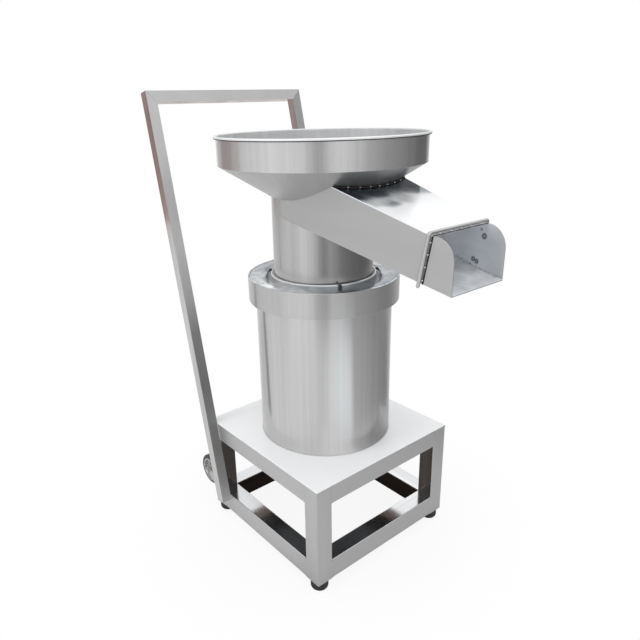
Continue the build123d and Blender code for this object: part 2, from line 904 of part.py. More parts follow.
def switch_rocker():
    """Rocker with two flats, tilted to its off position, on two small pins."""
    half = rocker_length / 2
    width = switch_hole_width - 2 * rocker_side_play
    outline = [(-6.0, half), (-3.5, 0), (-6.0, -half), (0, -half), (5.0, -6.0), (5.0, 6.0), (0, half)]
    paddle = prism(Plane.XZ, outline, width / 2, both=True)
    pin = Rot(90, 0, 0) * Cylinder(rocker_pin_radius, switch_hole_width + 2 * rocker_pin_reach)
    return switch_place * Pos(-rocker_pivot_out, 0, 0) * Rot(0, rocker_swing, 0) * (paddle + pin)


def cable_gland():
    """Cable gland screwed through the barrel's wall, with its nut inside."""
    bottom = barrel_radius - barrel_wall - gland_thread_length
    thread = Cylinder(
        gland_thread_radius, barrel_radius + 1 - bottom, align=(Align.CENTER, Align.CENTER, Align.MIN)
    )
    hexagon = extrude(RegularPolygon(gland_hex / 2, 6, major_radius=False), gland_hex_height + 1)
    nose = Cylinder(
        gland_nose_radius, gland_nose_height, align=(Align.CENTER, Align.CENTER, Align.MIN)
    )
    nose = fillet(nose.edges().sort_by(Axis.Z)[-1], 3.0)
    outside = Pos(0, 0, barrel_radius - 1) * hexagon
    outside = outside + Pos(0, 0, barrel_radius + gland_hex_height) * nose
    nut = Pos(0, 0, barrel_radius - barrel_wall - gland_nut_height - 0.5) * extrude(
        RegularPolygon(gland_hex / 2, 6, major_radius=False), gland_nut_height
    )
    outside = gland_place * outside - disc(barrel_radius, base_top, collar_bottom)
    cable_bore = Cylinder(gland_bore_radius, 4 * barrel_radius)
    wide_bore = disc(gland_inner_radius, 0, barrel_radius + gland_seat)
    inside = gland_place * (Pos(0, 0, bottom) * thread + nut)
    return outside + inside - gland_place * (cable_bore + wide_bore)


pieces = {}
for end, x_side in (("front", 1), ("rear", -1)):
    for hand, y_side in (("left", 1), ("right", -1)):
        corner = Pos(x_side * leg_offset_x, y_side * leg_offset_y, 0)
        pieces[f"leg_{end}_{hand}"] = corner * leg()
        pieces[f"foot_{end}_{hand}"] = corner * foot()
    top_place = Pos(x_side * leg_offset_x, 0, plate_bottom - leg_side / 2)
    low_place = Pos(x_side * leg_offset_x, 0, foot_height + lower_rail_height / 2)
    pieces[f"top_rail_{end}"] = top_place * cross_rail(leg_side)
    pieces[f"lower_rail_{end}"] = low_place * cross_rail(lower_rail_height)
for hand, y_side in (("left", 1), ("right", -1)):
    top_place = Pos(0, y_side * leg_offset_y, plate_bottom - leg_side / 2)
    low_place = Pos(0, y_side * leg_offset_y, foot_height + lower_rail_height / 2)
    pieces[f"top_rail_{hand}"] = top_place * side_rail(leg_side)
    pieces[f"lower_rail_{hand}"] = low_place * side_rail(lower_rail_height)
    pieces[f"handle_post_{hand}"] = handle_post(y_side)
    pieces[f"wheel_fork_{hand}"] = wheel_fork(y_side)
    pieces[f"axle_{hand}"] = at_wheel(y_side, axle())
    pieces[f"tyre_{hand}"] = at_wheel(y_side, tyre())
    pieces[f"hub_{hand}"] = at_wheel(y_side, hub())
    pieces[f"chute_side_{hand}"] = chute_side(y_side)
pieces["top_plate"] = top_plate()
pieces["handle_top_bar"] = handle_top_bar()
pieces["barrel"] = barrel()
pieces["collar"] = collar()
pieces["mount_ring"] = mount_ring()
pieces["isolation_mounts"] = isolation_mounts()
pieces["guide_studs"] = guide_studs()
pieces["guide_nuts"] = guide_nuts()
pieces["switch_bezel"] = switch_bezel()
pieces["switch_rocker"] = switch_rocker()
pieces["cable_gland"] = cable_gland()
pieces["deck"] = deck()
pieces["deck_bolts"] = deck_bolts()
pieces["motor_housing"] = motor_housing()
pieces["motor_bolts"] = motor_bolts()
pieces["weight_covers"] = weight_covers()
pieces["bearings"] = bearings()
pieces["motor_shaft"] = motor_shaft()
pieces["rotor_core"] = rotor_core()
pieces["upper_weight"] = eccentric_weight(motor_top + weight_gap, 0)
pieces["lower_weight"] = eccentric_weight(motor_bottom - weight_gap - weight_thickness, 60)
pieces["body_shell"] = body_shell()
pieces["discharge_pan"] = discharge_pan()
pieces["chute_floor"] = chute_floor()
pieces["chute_roof"] = chute_roof()
pieces["chute_hoop"] = chute_hoop()
pieces["hopper_cone"] = hopper_cone()
pieces["hopper_band"] = hopper_band()
pieces["sieve_seat"] = sieve_seat()
pieces["sieve_gasket"] = sieve_gasket()
pieces["sieve_frame"] = sieve_frame()
pieces["sieve_mesh"] = sieve_mesh()

for name, piece in pieces.items():
    export_step(piece, f"parts/{name}.step")
print(len(pieces), "pieces")
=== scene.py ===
# %% [markdown]
# Powder sieving machine, a lesson in cells.
# The machine is sheet steel and square tube: a cart, a barrel with the drive inside, an upper cylinder,
# a dish with a lift-out sieve, and a chute that carries the sieved powder to the front.
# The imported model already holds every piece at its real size. What is left to make here is what the eye
# reads as steel: the finish of each surface, the weld beads, the woven sieve cloth and the small fittings.

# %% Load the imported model
import math
import random
import bpy
import bmesh
from mathutils import Matrix, Vector


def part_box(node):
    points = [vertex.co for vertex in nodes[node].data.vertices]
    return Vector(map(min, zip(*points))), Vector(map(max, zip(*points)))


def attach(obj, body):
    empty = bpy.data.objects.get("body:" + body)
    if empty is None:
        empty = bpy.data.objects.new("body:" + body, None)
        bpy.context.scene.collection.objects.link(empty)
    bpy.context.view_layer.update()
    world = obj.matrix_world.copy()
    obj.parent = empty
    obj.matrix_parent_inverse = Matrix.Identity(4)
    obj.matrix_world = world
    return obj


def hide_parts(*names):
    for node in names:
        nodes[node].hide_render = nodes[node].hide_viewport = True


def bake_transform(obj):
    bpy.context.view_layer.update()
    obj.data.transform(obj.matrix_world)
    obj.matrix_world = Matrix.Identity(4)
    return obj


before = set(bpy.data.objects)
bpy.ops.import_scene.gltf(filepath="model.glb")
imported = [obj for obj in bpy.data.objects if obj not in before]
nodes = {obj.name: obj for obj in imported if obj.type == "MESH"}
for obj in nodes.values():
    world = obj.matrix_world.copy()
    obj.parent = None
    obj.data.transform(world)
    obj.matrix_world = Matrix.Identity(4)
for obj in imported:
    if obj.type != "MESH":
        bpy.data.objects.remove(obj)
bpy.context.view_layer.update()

# %% [markdown]
# The camera comes first, because every finish is judged through it.
# A camera can be placed by eye, but this one was solved: the edges of the square cart and the outlines of
# the round parts fix its place, its turn and its lens. It stands a little above the dish's rim and looks
# down by 22 degrees, from the corner between the chute and the right side.

# %% Camera
camera_place = (1.1882, -1.0384, 1.2191)
camera_heading = math.radians(51.299)
camera_tilt = math.radians(69.92)
camera_roll = math.radians(-1.584)
picture_size = 640.0
focal_pixels = 594.92
principal_point = (300.25, 321.81)
sensor_width = 36.0

camera_data = bpy.data.cameras.new("photo_camera")
camera_data.sensor_width = sensor_width
camera_data.lens = sensor_width * focal_pixels / picture_size
camera_data.shift_x = -(principal_point[0] - picture_size / 2) / picture_size
camera_data.shift_y = (principal_point[1] - picture_size / 2) / picture_size
camera = bpy.data.objects.new("photo_camera", camera_data)
camera.location = camera_place
turned = (Matrix.Rotation(camera_heading, 3, "Z") @ Matrix.Rotation(camera_tilt, 3, "X")
          @ Matrix.Rotation(camera_roll, 3, "Z"))
camera.rotation_euler = turned.to_euler()
bpy.context.collection.objects.link(camera)
bpy.context.scene.camera = camera
print("lens", round(camera_data.lens, 2), "mm")

# %% [markdown]
# Materials are node trees, and a tree written link by link is long. A few small helpers keep each one
# short: one adds a node and fills its sockets with a number or a link, the others do one sum or one mix.

# %% Helpers for node trees
def fill(tree, socket, value):
    """Sets a socket, or links it if the value is another socket."""
    if isinstance(value, bpy.types.NodeSocket):
        tree.links.new(value, socket)
    else:
        socket.default_value = value


def add(tree, kind, inputs=None, **settings):
    """Adds a node with its settings and its inputs."""
    node = tree.nodes.new(kind)
    for name, value in settings.items():
        setattr(node, name, value)
    for name, value in (inputs or {}).items():
        fill(tree, node.inputs[name], value)
    return node


def maths(tree, operation, first, second=0.0, clamp=False):
    """One sum, as a socket."""
    node = add(tree, "ShaderNodeMath", {0: first, 1: second}, operation=operation, use_clamp=clamp)
    return node.outputs[0]


def times(tree, first, second, clamp=False):
    """A product, as a socket."""
    return maths(tree, "MULTIPLY", first, second, clamp)


def own_place(tree):
    """Where a point is in its object, as a socket."""
    return add(tree, "ShaderNodeTexCoord").outputs["Object"]


def own_normal(tree):
    """Which way the surface faces, as a socket."""
    return add(tree, "ShaderNodeNewGeometry").outputs["Normal"]


def axes_of(tree, value):
    """The three parts of a vector, as sockets."""
    return add(tree, "ShaderNodeSeparateXYZ", {0: value}).outputs


def point_of(tree, parts):
    """A vector made of its parts, as a socket."""
    return add(tree, "ShaderNodeCombineXYZ", parts).outputs[0]


def vector(tree, operation, first, second=None):
    """One vector sum, as a socket: a number for a dot product or a length, else a vector."""
    inputs = {0: first} if second is None else {0: first, 1: second}
    node = add(tree, "ShaderNodeVectorMath", inputs, operation=operation)
    return node.outputs["Value" if operation in ("DOT_PRODUCT", "LENGTH", "DISTANCE") else "Vector"]


def ease(tree, value, start, end, low=0.0, high=1.0, soft=True):
    """Turns the range start to end into low to high, as a socket."""
    kind = "SMOOTHSTEP" if soft else "LINEAR"
    return add(tree, "ShaderNodeMapRange", {"Value": value, "From Min": start, "From Max": end,
                                            "To Min": low, "To Max": high}, interpolation_type=kind).outputs[0]


def blend_colours(tree, factor, first, second):
    """Mixes two colours, as a socket."""
    node = tree.nodes.new("ShaderNodeMix")
    node.data_type = "RGBA"
    for index, value in ((0, factor), (6, first), (7, second)):
        fill(tree, node.inputs[index], value)
    return node.outputs[2]


def scale_colour(tree, colour, factor):
    """A colour made darker or lighter by a factor, as a socket."""
    if not isinstance(colour, bpy.types.NodeSocket):
        colour = colour[:3]
    return add(tree, "ShaderNodeVectorMath", {0: colour, "Scale": factor}, operation="SCALE").outputs[0]


def start_material(name):
    """A material with only its Principled shader and its output."""
    material = bpy.data.materials.new(name)
    material.use_nodes = True
    tree = material.node_tree
    return material, tree, tree.nodes["Principled BSDF"]


def grey(level, warmth=0.0):
    """A grey colour, a little warm or cool."""
    return (level * (1 + warmth), level, level * (1 - warmth), 1)


print("helpers ready")

# %% [markdown]
# Steel shows what stands around it, so the room matters more than the lamps.
# The machine stands in a bright room that is darker on its right, and that is where the broad bands on the
# round walls come from. Lamps alone could not give them. So the world is painted as a room: a level for
# each compass bearing, rising to white overhead. Diffuse light stays plain and even, and the camera sees
# white. The lamps give form to what isn't metal and don't show in the steel.

# %% The room that the steel reflects
wall_stops = [
    (-180, (0.46, 0.42, 0.41)), (-170, (0.38, 0.33, 0.33)), (-155, (0.46, 0.39, 0.38)), (-142, (0.58, 0.54, 0.54)),
    (-127, 0.82), (-113, 0.74), (-100, 0.93), (-88, 0.98), (-66, 0.92), (-55, 0.80), (-46, 0.52), (-38, 0.66),
    (-28, 0.90), (-10, 0.84), (10, 0.52), (30, 0.40), (50, 0.28), (65, 0.20), (80, 0.12), (100, 0.12),
    (115, 0.55), (135, 0.95), (160, 0.85), (180, (0.46, 0.42, 0.41)),
]
ground_stops = [
    (-180, 0.66), (-170, 0.60), (-157, 0.70), (-142, 0.76), (-127, 0.80), (-113, 0.77), (-100, 0.86),
    (-88, 0.86), (-66, 0.82), (-55, 0.76), (-44, 0.68), (-33, 0.86),
    (-18, (0.94, 0.98, 1.0)), (-5, (0.94, 0.97, 1.0)),
    (1, 0.82), (6, 0.46), (36, 0.34), (67, 0.26), (84, 0.25), (94, 0.40), (108, 0.66), (139, 0.88), (160, 0.78),
    (180, 0.66),
]
far_stops = [
    (-180, 0.70), (-170, 0.68), (-154, 0.70), (-138, 0.78), (-105, 0.76), (-91, 0.93), (-70, 0.88), (-58, 0.80),
    (-50, 0.52), (-38, 0.34), (-29, 0.62), (-16, 0.58), (-4, 0.38), (14, 0.34), (29, 0.30), (50, 0.25), (70, 0.27),
    (88, 0.38), (112, 0.55), (139, 0.75), (180, 0.70),
]
near_stops = [(-180, 0.79), (-86, 0.79), (-55, 0.61), (110, 0.61), (150, 0.79), (180, 0.79)]
# Painted levels at which the top plate and the collar cover glow in the steel that reflects them.
plate_painted_glow_stops = [
    (-180, 0.60), (-121, 0.70), (-84, 0.68), (-66, 0.76), (-50, 0.69), (-36, 0.79), (-25, 0.80),
    (-17, 0.70), (-9, 0.44),
    (-2, 0.38), (6, 0.31), (16, 0.27), (30, 0.33), (44, 0.48), (100, 0.50), (180, 0.60),
]


def ramp(tree, value, stops):
    """A colour for each value from 0 to 1, as a socket."""
    node = add(tree, "ShaderNodeValToRGB", {0: value})
    for _ in stops[2:]:
        node.color_ramp.elements.new(0.5)
    for element, (position, level) in zip(node.color_ramp.elements, stops):
        element.position = position
        element.color = grey(level) if isinstance(level, float) else level + (1,)
    return node.outputs[0]


def by_bearing(tree, direction, stops):
    """A colour for each compass bearing of a direction, as a socket."""
    axes = axes_of(tree, direction)
    bearing = maths(tree, "ARCTAN2", axes["Y"], axes["X"])
    turn = maths(tree, "ADD", maths(tree, "DIVIDE", bearing, 2 * math.pi), 0.5)
    return ramp(tree, turn, [(degrees / 360 + 0.5, level) for degrees, level in stops])


print(len(wall_stops), "bearings on the walls,", len(ground_stops), "on the ground")


# %% World and lamps
room_light = 0.75
rise_to_white = 1.85

world = bpy.data.worlds.new("studio")
bpy.context.scene.world = world
world.use_nodes = True
tree = world.node_tree
tree.nodes.clear()
direction = add(tree, "ShaderNodeTexCoord").outputs["Generated"]
walls = by_bearing(tree, direction, wall_stops)
upward = axes_of(tree, direction)["Z"]
reflected = blend_colours(tree, times(tree, upward, rise_to_white, clamp=True), walls, grey(1.0))
paths = add(tree, "ShaderNodeLightPath").outputs
seen = maths(tree, "MAXIMUM", paths["Is Camera Ray"], paths["Is Transmission Ray"])
diffuse_world = add(tree, "ShaderNodeBackground", {"Color": grey(1.0), "Strength": room_light})
glossy_world = add(tree, "ShaderNodeBackground", {"Color": reflected, "Strength": 1.0})
white_world = add(tree, "ShaderNodeBackground", {"Color": grey(1.0), "Strength": 1.0})
lit = add(tree, "ShaderNodeMixShader", {0: paths["Is Glossy Ray"], 1: diffuse_world.outputs[0],
                                        2: glossy_world.outputs[0]})
shown = add(tree, "ShaderNodeMixShader", {0: seen, 1: lit.outputs[0], 2: white_world.outputs[0]})
add(tree, "ShaderNodeOutputWorld", {"Surface": shown.outputs[0]})


def soft_lamp(name, place, target, size, power):
    """A square area lamp that faces a point and doesn't show in the steel."""
    data = bpy.data.lights.new(name, "AREA")
    data.size = size
    data.energy = power
    lamp = bpy.data.objects.new(name, data)
    lamp.location = place
    aim = Vector(target) - Vector(place)
    lamp.rotation_euler = aim.to_track_quat("-Z", "Y").to_euler()
    lamp.visible_glossy = False
    bpy.context.collection.objects.link(lamp)
    return lamp


key_lamp = soft_lamp("key_lamp", (-0.6, -2.6, 2.6), (0, 0, 0.6), 1.6, 26.0)
top_lamp = soft_lamp("top_lamp", (0.4, 0.2, 3.2), (0, 0, 0.6), 2.0, 19.0)
fill_lamp = soft_lamp("fill_lamp", (1.9, -1.2, 1.15), (0.45, 0.0, 0.90), 0.8, 6.0)
bpy.context.scene.view_settings.view_transform = "Standard"
print("lamps", [lamp.data.energy for lamp in (key_lamp, top_lamp, fill_lamp)], "W")

# %% [markdown]
# The floor is pale and plain. It keeps a faint shadow near the feet and turns into the white background
# further out, so no horizon shows behind the cart. In the steel it shows the same room as the walls do, and
# the ground under the cart, which no light reaches, is dark there.

# %% Floor
floor_radius = 6.0
shadow_reach = (0.28, 0.80)
floor_share = 0.90
under_cart = (0.20, 0.31)

floor_mesh = bpy.data.meshes.new("floor")
bm = bmesh.new()
bmesh.ops.create_circle(bm, cap_ends=True, segments=96, radius=floor_radius)
bm.to_mesh(floor_mesh)
bm.free()
floor = bpy.data.objects.new("floor", floor_mesh)
bpy.context.collection.objects.link(floor)

floor_finish, tree, shader = start_material("pale_floor")
shader.inputs["Base Color"].default_value = grey(0.90)
shader.inputs["Roughness"].default_value = 0.9
place = own_place(tree)
whiteness = ease(tree, vector(tree, "LENGTH", place), *shadow_reach, floor_share, 1.0)
sides = axes_of(tree, vector(tree, "ABSOLUTE", place))
clear = ease(tree, maths(tree, "MAXIMUM", sides["X"], sides["Y"]), *under_cart)
reach = vector(tree, "LENGTH", place)
beside = blend_colours(tree, ease(tree, reach, 0.60, 1.00), by_bearing(tree, place, near_stops),
                       by_bearing(tree, place, ground_stops))
room = blend_colours(tree, ease(tree, reach, 1.75, 2.10), beside, by_bearing(tree, place, far_stops))
ground = blend_colours(tree, clear, grey(0.06), room)
paths = add(tree, "ShaderNodeLightPath").outputs
direct = maths(tree, "MAXIMUM", paths["Is Camera Ray"], paths["Is Transmission Ray"])
glow = add(tree, "ShaderNodeEmission", {"Color": grey(1.0), "Strength": 1.0})
mirror = add(tree, "ShaderNodeEmission", {"Color": ground, "Strength": 1.0})
pale = add(tree, "ShaderNodeMixShader", {0: times(tree, whiteness, direct), 1: shader.outputs[0],
                                         2: glow.outputs[0]})
surface = add(tree, "ShaderNodeMixShader", {0: paths["Is Glossy Ray"], 1: pale.outputs[0], 2: mirror.outputs[0]})
tree.links.new(surface.outputs[0], tree.nodes["Material Output"].inputs["Surface"])
floor_mesh.materials.append(floor_finish)
print("floor", floor_radius, "m")

# %% [markdown]
# Three effects return in most of the finishes, so each is a shader node group, built once.
# The first is the fine grain that a polishing belt leaves. On flat sheet it runs straight: the noise is
# squeezed across the grain and stretched along it. The second is the finish of a rolled and turned wall:
# fine grain along the circle, broad bands and thin lines up the wall, and the ground seam where the sheet's
# ends were welded, at the back. The third is smudges, the cloudy change that handling and wiping leave.

# %% Group for straight grain
def start_group(name, inputs, outputs):
    """A shader group with float or vector inputs and float outputs."""
    group = bpy.data.node_groups.new(name, "ShaderNodeTree")
    for label, kind, value in inputs:
        socket = group.interface.new_socket(label, in_out="INPUT", socket_type=kind)
        socket.default_value = value
    for label in outputs:
        group.interface.new_socket(label, in_out="OUTPUT", socket_type="NodeSocketFloat")
    return group, group.nodes.new("NodeGroupInput").outputs, group.nodes.new("NodeGroupOutput").inputs


def noise(tree, place, scale, detail=2.0, **more):
    """Noise at a place, as a socket."""
    return add(tree, "ShaderNodeTexNoise", {"Vector": place, "Scale": scale, "Detail": detail, **more}).outputs[0]


straight_grain, given, result = start_group(
    "Straight grain",
    [("Stretch", "NodeSocketVector", (1, 1, 1)), ("Fineness", "NodeSocketFloat", 900.0)],
    ["Grain", "Tone", "Patch"],
)
place = own_place(straight_grain)
stretched = vector(straight_grain, "MULTIPLY", place, given["Stretch"])
straight_grain.links.new(noise(straight_grain, stretched, given["Fineness"], 3.0), result["Grain"])
straight_grain.links.new(noise(straight_grain, stretched, 26.0), result["Tone"])
straight_grain.links.new(noise(straight_grain, stretched, 9.0, 3.0, Distortion=0.8), result["Patch"])
print("group", straight_grain.name)

# %% Group for round polish
round_polish, given, result = start_group(
    "Round polish",
    [("Bands", "NodeSocketFloat", 3.0), ("Fineness", "NodeSocketFloat", 700.0), ("Shift", "NodeSocketFloat", 0.0)],
    ["Grain", "Band", "Streak", "Line", "Inner", "Front", "Seam"],
)
tree = round_polish
place = own_place(tree)
axes = axes_of(tree, place)
flat = point_of(tree, {0: axes["X"], 1: axes["Y"]})
around = vector(tree, "NORMALIZE", flat)
shifted = vector(tree, "ADD", around, point_of(tree, {2: given["Shift"]}))
rings = point_of(tree, {0: vector(tree, "LENGTH", flat), 1: axes["Z"]})
spiral = vector(tree, "ADD", rings, vector(tree, "MULTIPLY", around, (0.004, 0.004, 0.0)))
normal = own_normal(tree)
back = maths(tree, "LESS_THAN", axes["X"], 0.0)
near_seam = ease(tree, maths(tree, "ABSOLUTE", axes["Y"]), 0.0012, 0.0026, 1.0, 0.0)
tree.links.new(noise(tree, spiral, given["Fineness"], 3.0), result["Grain"])
tree.links.new(noise(tree, shifted, given["Bands"], 1.0), result["Band"])
tree.links.new(noise(tree, shifted, times(tree, given["Bands"], 8.0), 2.0), result["Streak"])
tree.links.new(noise(tree, shifted, times(tree, given["Bands"], 55.0), 2.0), result["Line"])
tree.links.new(ease(tree, vector(tree, "DOT_PRODUCT", normal, around), -0.05, -0.35), result["Inner"])
tree.links.new(axes_of(tree, around)["X"], result["Front"])
tree.links.new(times(tree, back, near_seam), result["Seam"])
print("group", round_polish.name)

# %% Group for smudges
smudges, given, result = start_group("Smudges", [("Size", "NodeSocketFloat", 6.0)], ["Cloud", "Speck"])
place = own_place(smudges)
smudges.links.new(noise(smudges, place, given["Size"], 4.0, Distortion=0.6), result["Cloud"])
smudges.links.new(ease(smudges, noise(smudges, place, 420.0), 0.66, 0.78), result["Speck"])
print("group", smudges.name)

# %% [markdown]
# A weld that isn't ground away leaves a ring of straw and brown heat colour. The spout's inner wall has
# three such rings and a dot, where small brackets were tacked on outside. A group makes one ring: it
# measures the distance from a centre, and passes a thin shell of it.

# %% Group for a heat ring
heat_ring, given, result = start_group(
    "Heat ring",
    [("Centre", "NodeSocketVector", (0, 0, 0)), ("Radius", "NodeSocketFloat", 0.006),
     ("Width", "NodeSocketFloat", 0.002)],
    ["Mask"],
)
place = own_place(heat_ring)
away = vector(heat_ring, "DISTANCE", place, given["Centre"])
wobble = times(heat_ring, noise(heat_ring, place, 300.0), 0.0012)
edge = maths(heat_ring, "ADD", maths(heat_ring, "SUBTRACT", away, given["Radius"]), wobble)
soft = maths(heat_ring, "DIVIDE", maths(heat_ring, "ABSOLUTE", edge), given["Width"], clamp=True)
heat_ring.links.new(maths(heat_ring, "SUBTRACT", 1.0, soft), result["Mask"])
print("group", heat_ring.name)


# %% [markdown]
# The finishes. All of the machine's sheet is one stainless steel, but the eye tells five apart: satin tube,
# the mill finish of faces that were never polished, satin rolled wall, white sheet that faces up, and the
# bluish inside of the spout. Metal takes its colour from Base Color, and a satin face scatters so much that
# it also has a share of plain diffuse colour, which Metallic below 1 gives.

# %% Tools for steel
def use_group(tree, group, values):
    """A group node with its inputs set."""
    return add(tree, "ShaderNodeGroup", values, node_tree=group).outputs


def finish_steel(tree, shader, colour, roughness, metallic, bump_height, bump_strength=0.04):
    """Joins colour, roughness, metal share and bump to a shader."""
    fill(tree, shader.inputs["Base Color"], colour)
    fill(tree, shader.inputs["Roughness"], roughness)
    fill(tree, shader.inputs["Metallic"], metallic)
    bump = add(tree, "ShaderNodeBump", {"Height": bump_height, "Strength": bump_strength, "Distance": 0.0004})
    tree.links.new(bump.outputs[0], shader.inputs["Normal"])


def spread(tree, value, low, high):
    """Maps a noise value to a range, as a socket."""
    return ease(tree, value, 0.3, 0.7, low, high, soft=False)


def along(tree, axis):
    """How much the surface faces along an axis, as a socket."""
    return vector(tree, "DOT_PRODUCT", own_normal(tree), axis)


def either(tree, factor, first, second):
    """A number that goes from first to second with the factor, as a socket."""
    node = tree.nodes.new("ShaderNodeMix")
    for index, value in ((0, factor), (2, first), (3, second)):
        fill(tree, node.inputs[index], value)
    return node.outputs[0]


print("steel tools ready")

# %% [markdown]
# Square tube. The faces that the maker polished are the outer ones of the cart and the front and back of
# the handle. The others keep their mill finish: smooth, patchy and almost a mirror. Their colour is painted
# shade and light: darker and brownish where they face sideways or down, lighter where they face up, and on
# the handle darker on the inner side and browner higher up. The handle's polished faces get painted light,
# a level for each height, and its far post is a darker copy, painted shade. The two are told apart by the
# place and the facing of each point.

# %% Satin square tube
handle_lean = math.atan2(0.261, 1.185)
handle_high = 1.30
# Painted light on the handle's polished faces: a level for each height.
handle_painted_light_stops = [
    (0.08, 0.80), (0.18, 0.60), (0.26, 0.42), (0.44, 0.32), (0.60, 0.42), (0.70, 0.74), (0.84, 1.0), (1.00, 1.0),
    (1.10, 0.90), (1.265, 0.84),
]


def tube_finish(name, stretch, level, on_handle=False, inner=(0.10, 0.075, 0.065, 1)):
    """Satin tube with mill finish on the faces that were never polished; both carry painted light and shade."""
    material, tree, shader = start_material(name)
    grain = use_group(tree, straight_grain, {"Stretch": stretch, "Fineness": 800.0})
    cloud = use_group(tree, smudges, {"Size": 5.0})
    place = own_place(tree)
    if on_handle:
        lean = along(tree, (math.cos(handle_lean), 0, math.sin(handle_lean)))
        satin = ease(tree, maths(tree, "ABSOLUTE", lean), 0.45, 0.6)
        # Painted shade: the handle's mill faces are darker and browner higher up.
        rise = ease(tree, axes_of(tree, place)["Z"], 0.82, 1.02)
        brown = blend_colours(tree, rise, (0.52, 0.51, 0.50, 1), (0.36, 0.30, 0.29, 1))
        pale = blend_colours(tree, rise, (0.70, 0.69, 0.68, 1), (0.66, 0.58, 0.56, 1))
        height = axes_of(tree, place)["Z"]
        share = maths(tree, "DIVIDE", height, handle_high)
        # Painted light: the polished faces get a level for each height.
        polished = times(tree, ramp(tree, share, [(z / handle_high, v) for z, v in handle_painted_light_stops]), 1.16)
        side = maths(tree, "SIGN", axes_of(tree, place)["Y"])
        # Painted shade: mill faces that face inward are darker, those that face outward lighter.
        inward = ease(tree, times(tree, along(tree, (0, 1, 0)), side), 0.0, -0.5)
        unpolished = either(tree, inward, 1.14, 0.78)
    else:
        polished, unpolished = 1.0, 1.0
        normal = own_normal(tree)
        reach = axes_of(tree, vector(tree, "MULTIPLY", place, normal))
        satin = ease(tree, maths(tree, "MAXIMUM", reach["X"], reach["Y"]), 0.10, 0.16)
        # Painted light and shade: mill faces that face up are lighter, the others darker and brownish.
        upward = ease(tree, along(tree, (0, 0, 1)), 0.4, 0.7)
        brown = blend_colours(tree, upward, inner, (0.63, 0.64, 0.66, 1))
        pale = blend_colours(tree, upward, tuple(value * 1.9 for value in inner[:3]) + (1,), (0.98, 0.98, 0.99, 1))
    mill = blend_colours(tree, spread(tree, grain["Patch"], 0.0, 1.0), brown, pale)
    colour = blend_colours(tree, satin, scale_colour(tree, mill, unpolished),
                           scale_colour(tree, grey(level), polished))
    toned = scale_colour(tree, colour, spread(tree, grain["Tone"], 0.975, 1.025))
    rough = either(tree, satin, spread(tree, cloud["Cloud"], 0.08, 0.18), spread(tree, grain["Grain"], 0.36, 0.46))
    height = either(tree, satin, times(tree, cloud["Cloud"], 24.0), grain["Grain"])
    finish_steel(tree, shader, toned, rough, either(tree, satin, 1.0, 0.72), height)
    return material


satin_upright = tube_finish("satin_tube_upright", (1, 1, 0.03), 0.54, inner=(0.52, 0.47, 0.44, 1))
satin_along_x = tube_finish("satin_tube_along_x", (0.03, 1, 1), 0.54)
satin_along_y = tube_finish("satin_tube_along_y", (1, 0.03, 1), 0.54)
satin_handle = tube_finish("satin_handle", (1, 1, 0.04), 0.60, on_handle=True)
# The far post is a darker copy of the handle's finish: painted shade.
satin_far_post_painted_shade = tube_finish("satin_far_post_painted_shade", (1, 1, 0.04), 0.40, on_handle=True)
print("tube finishes made")

# %% [markdown]
# Rolled walls: the barrel, the collar, the upper cylinder and the dish. Their broad upright bands are the
# strongest mark of the machine. Most come from the room, the rest from the rolls, and those belong to the
# metal, so they are in its colour. The polish runs round the wall, which spreads each reflection up and down
# but keeps its sides sharp, and the shader's Anisotropic value does that, with its tangent round the Z axis.

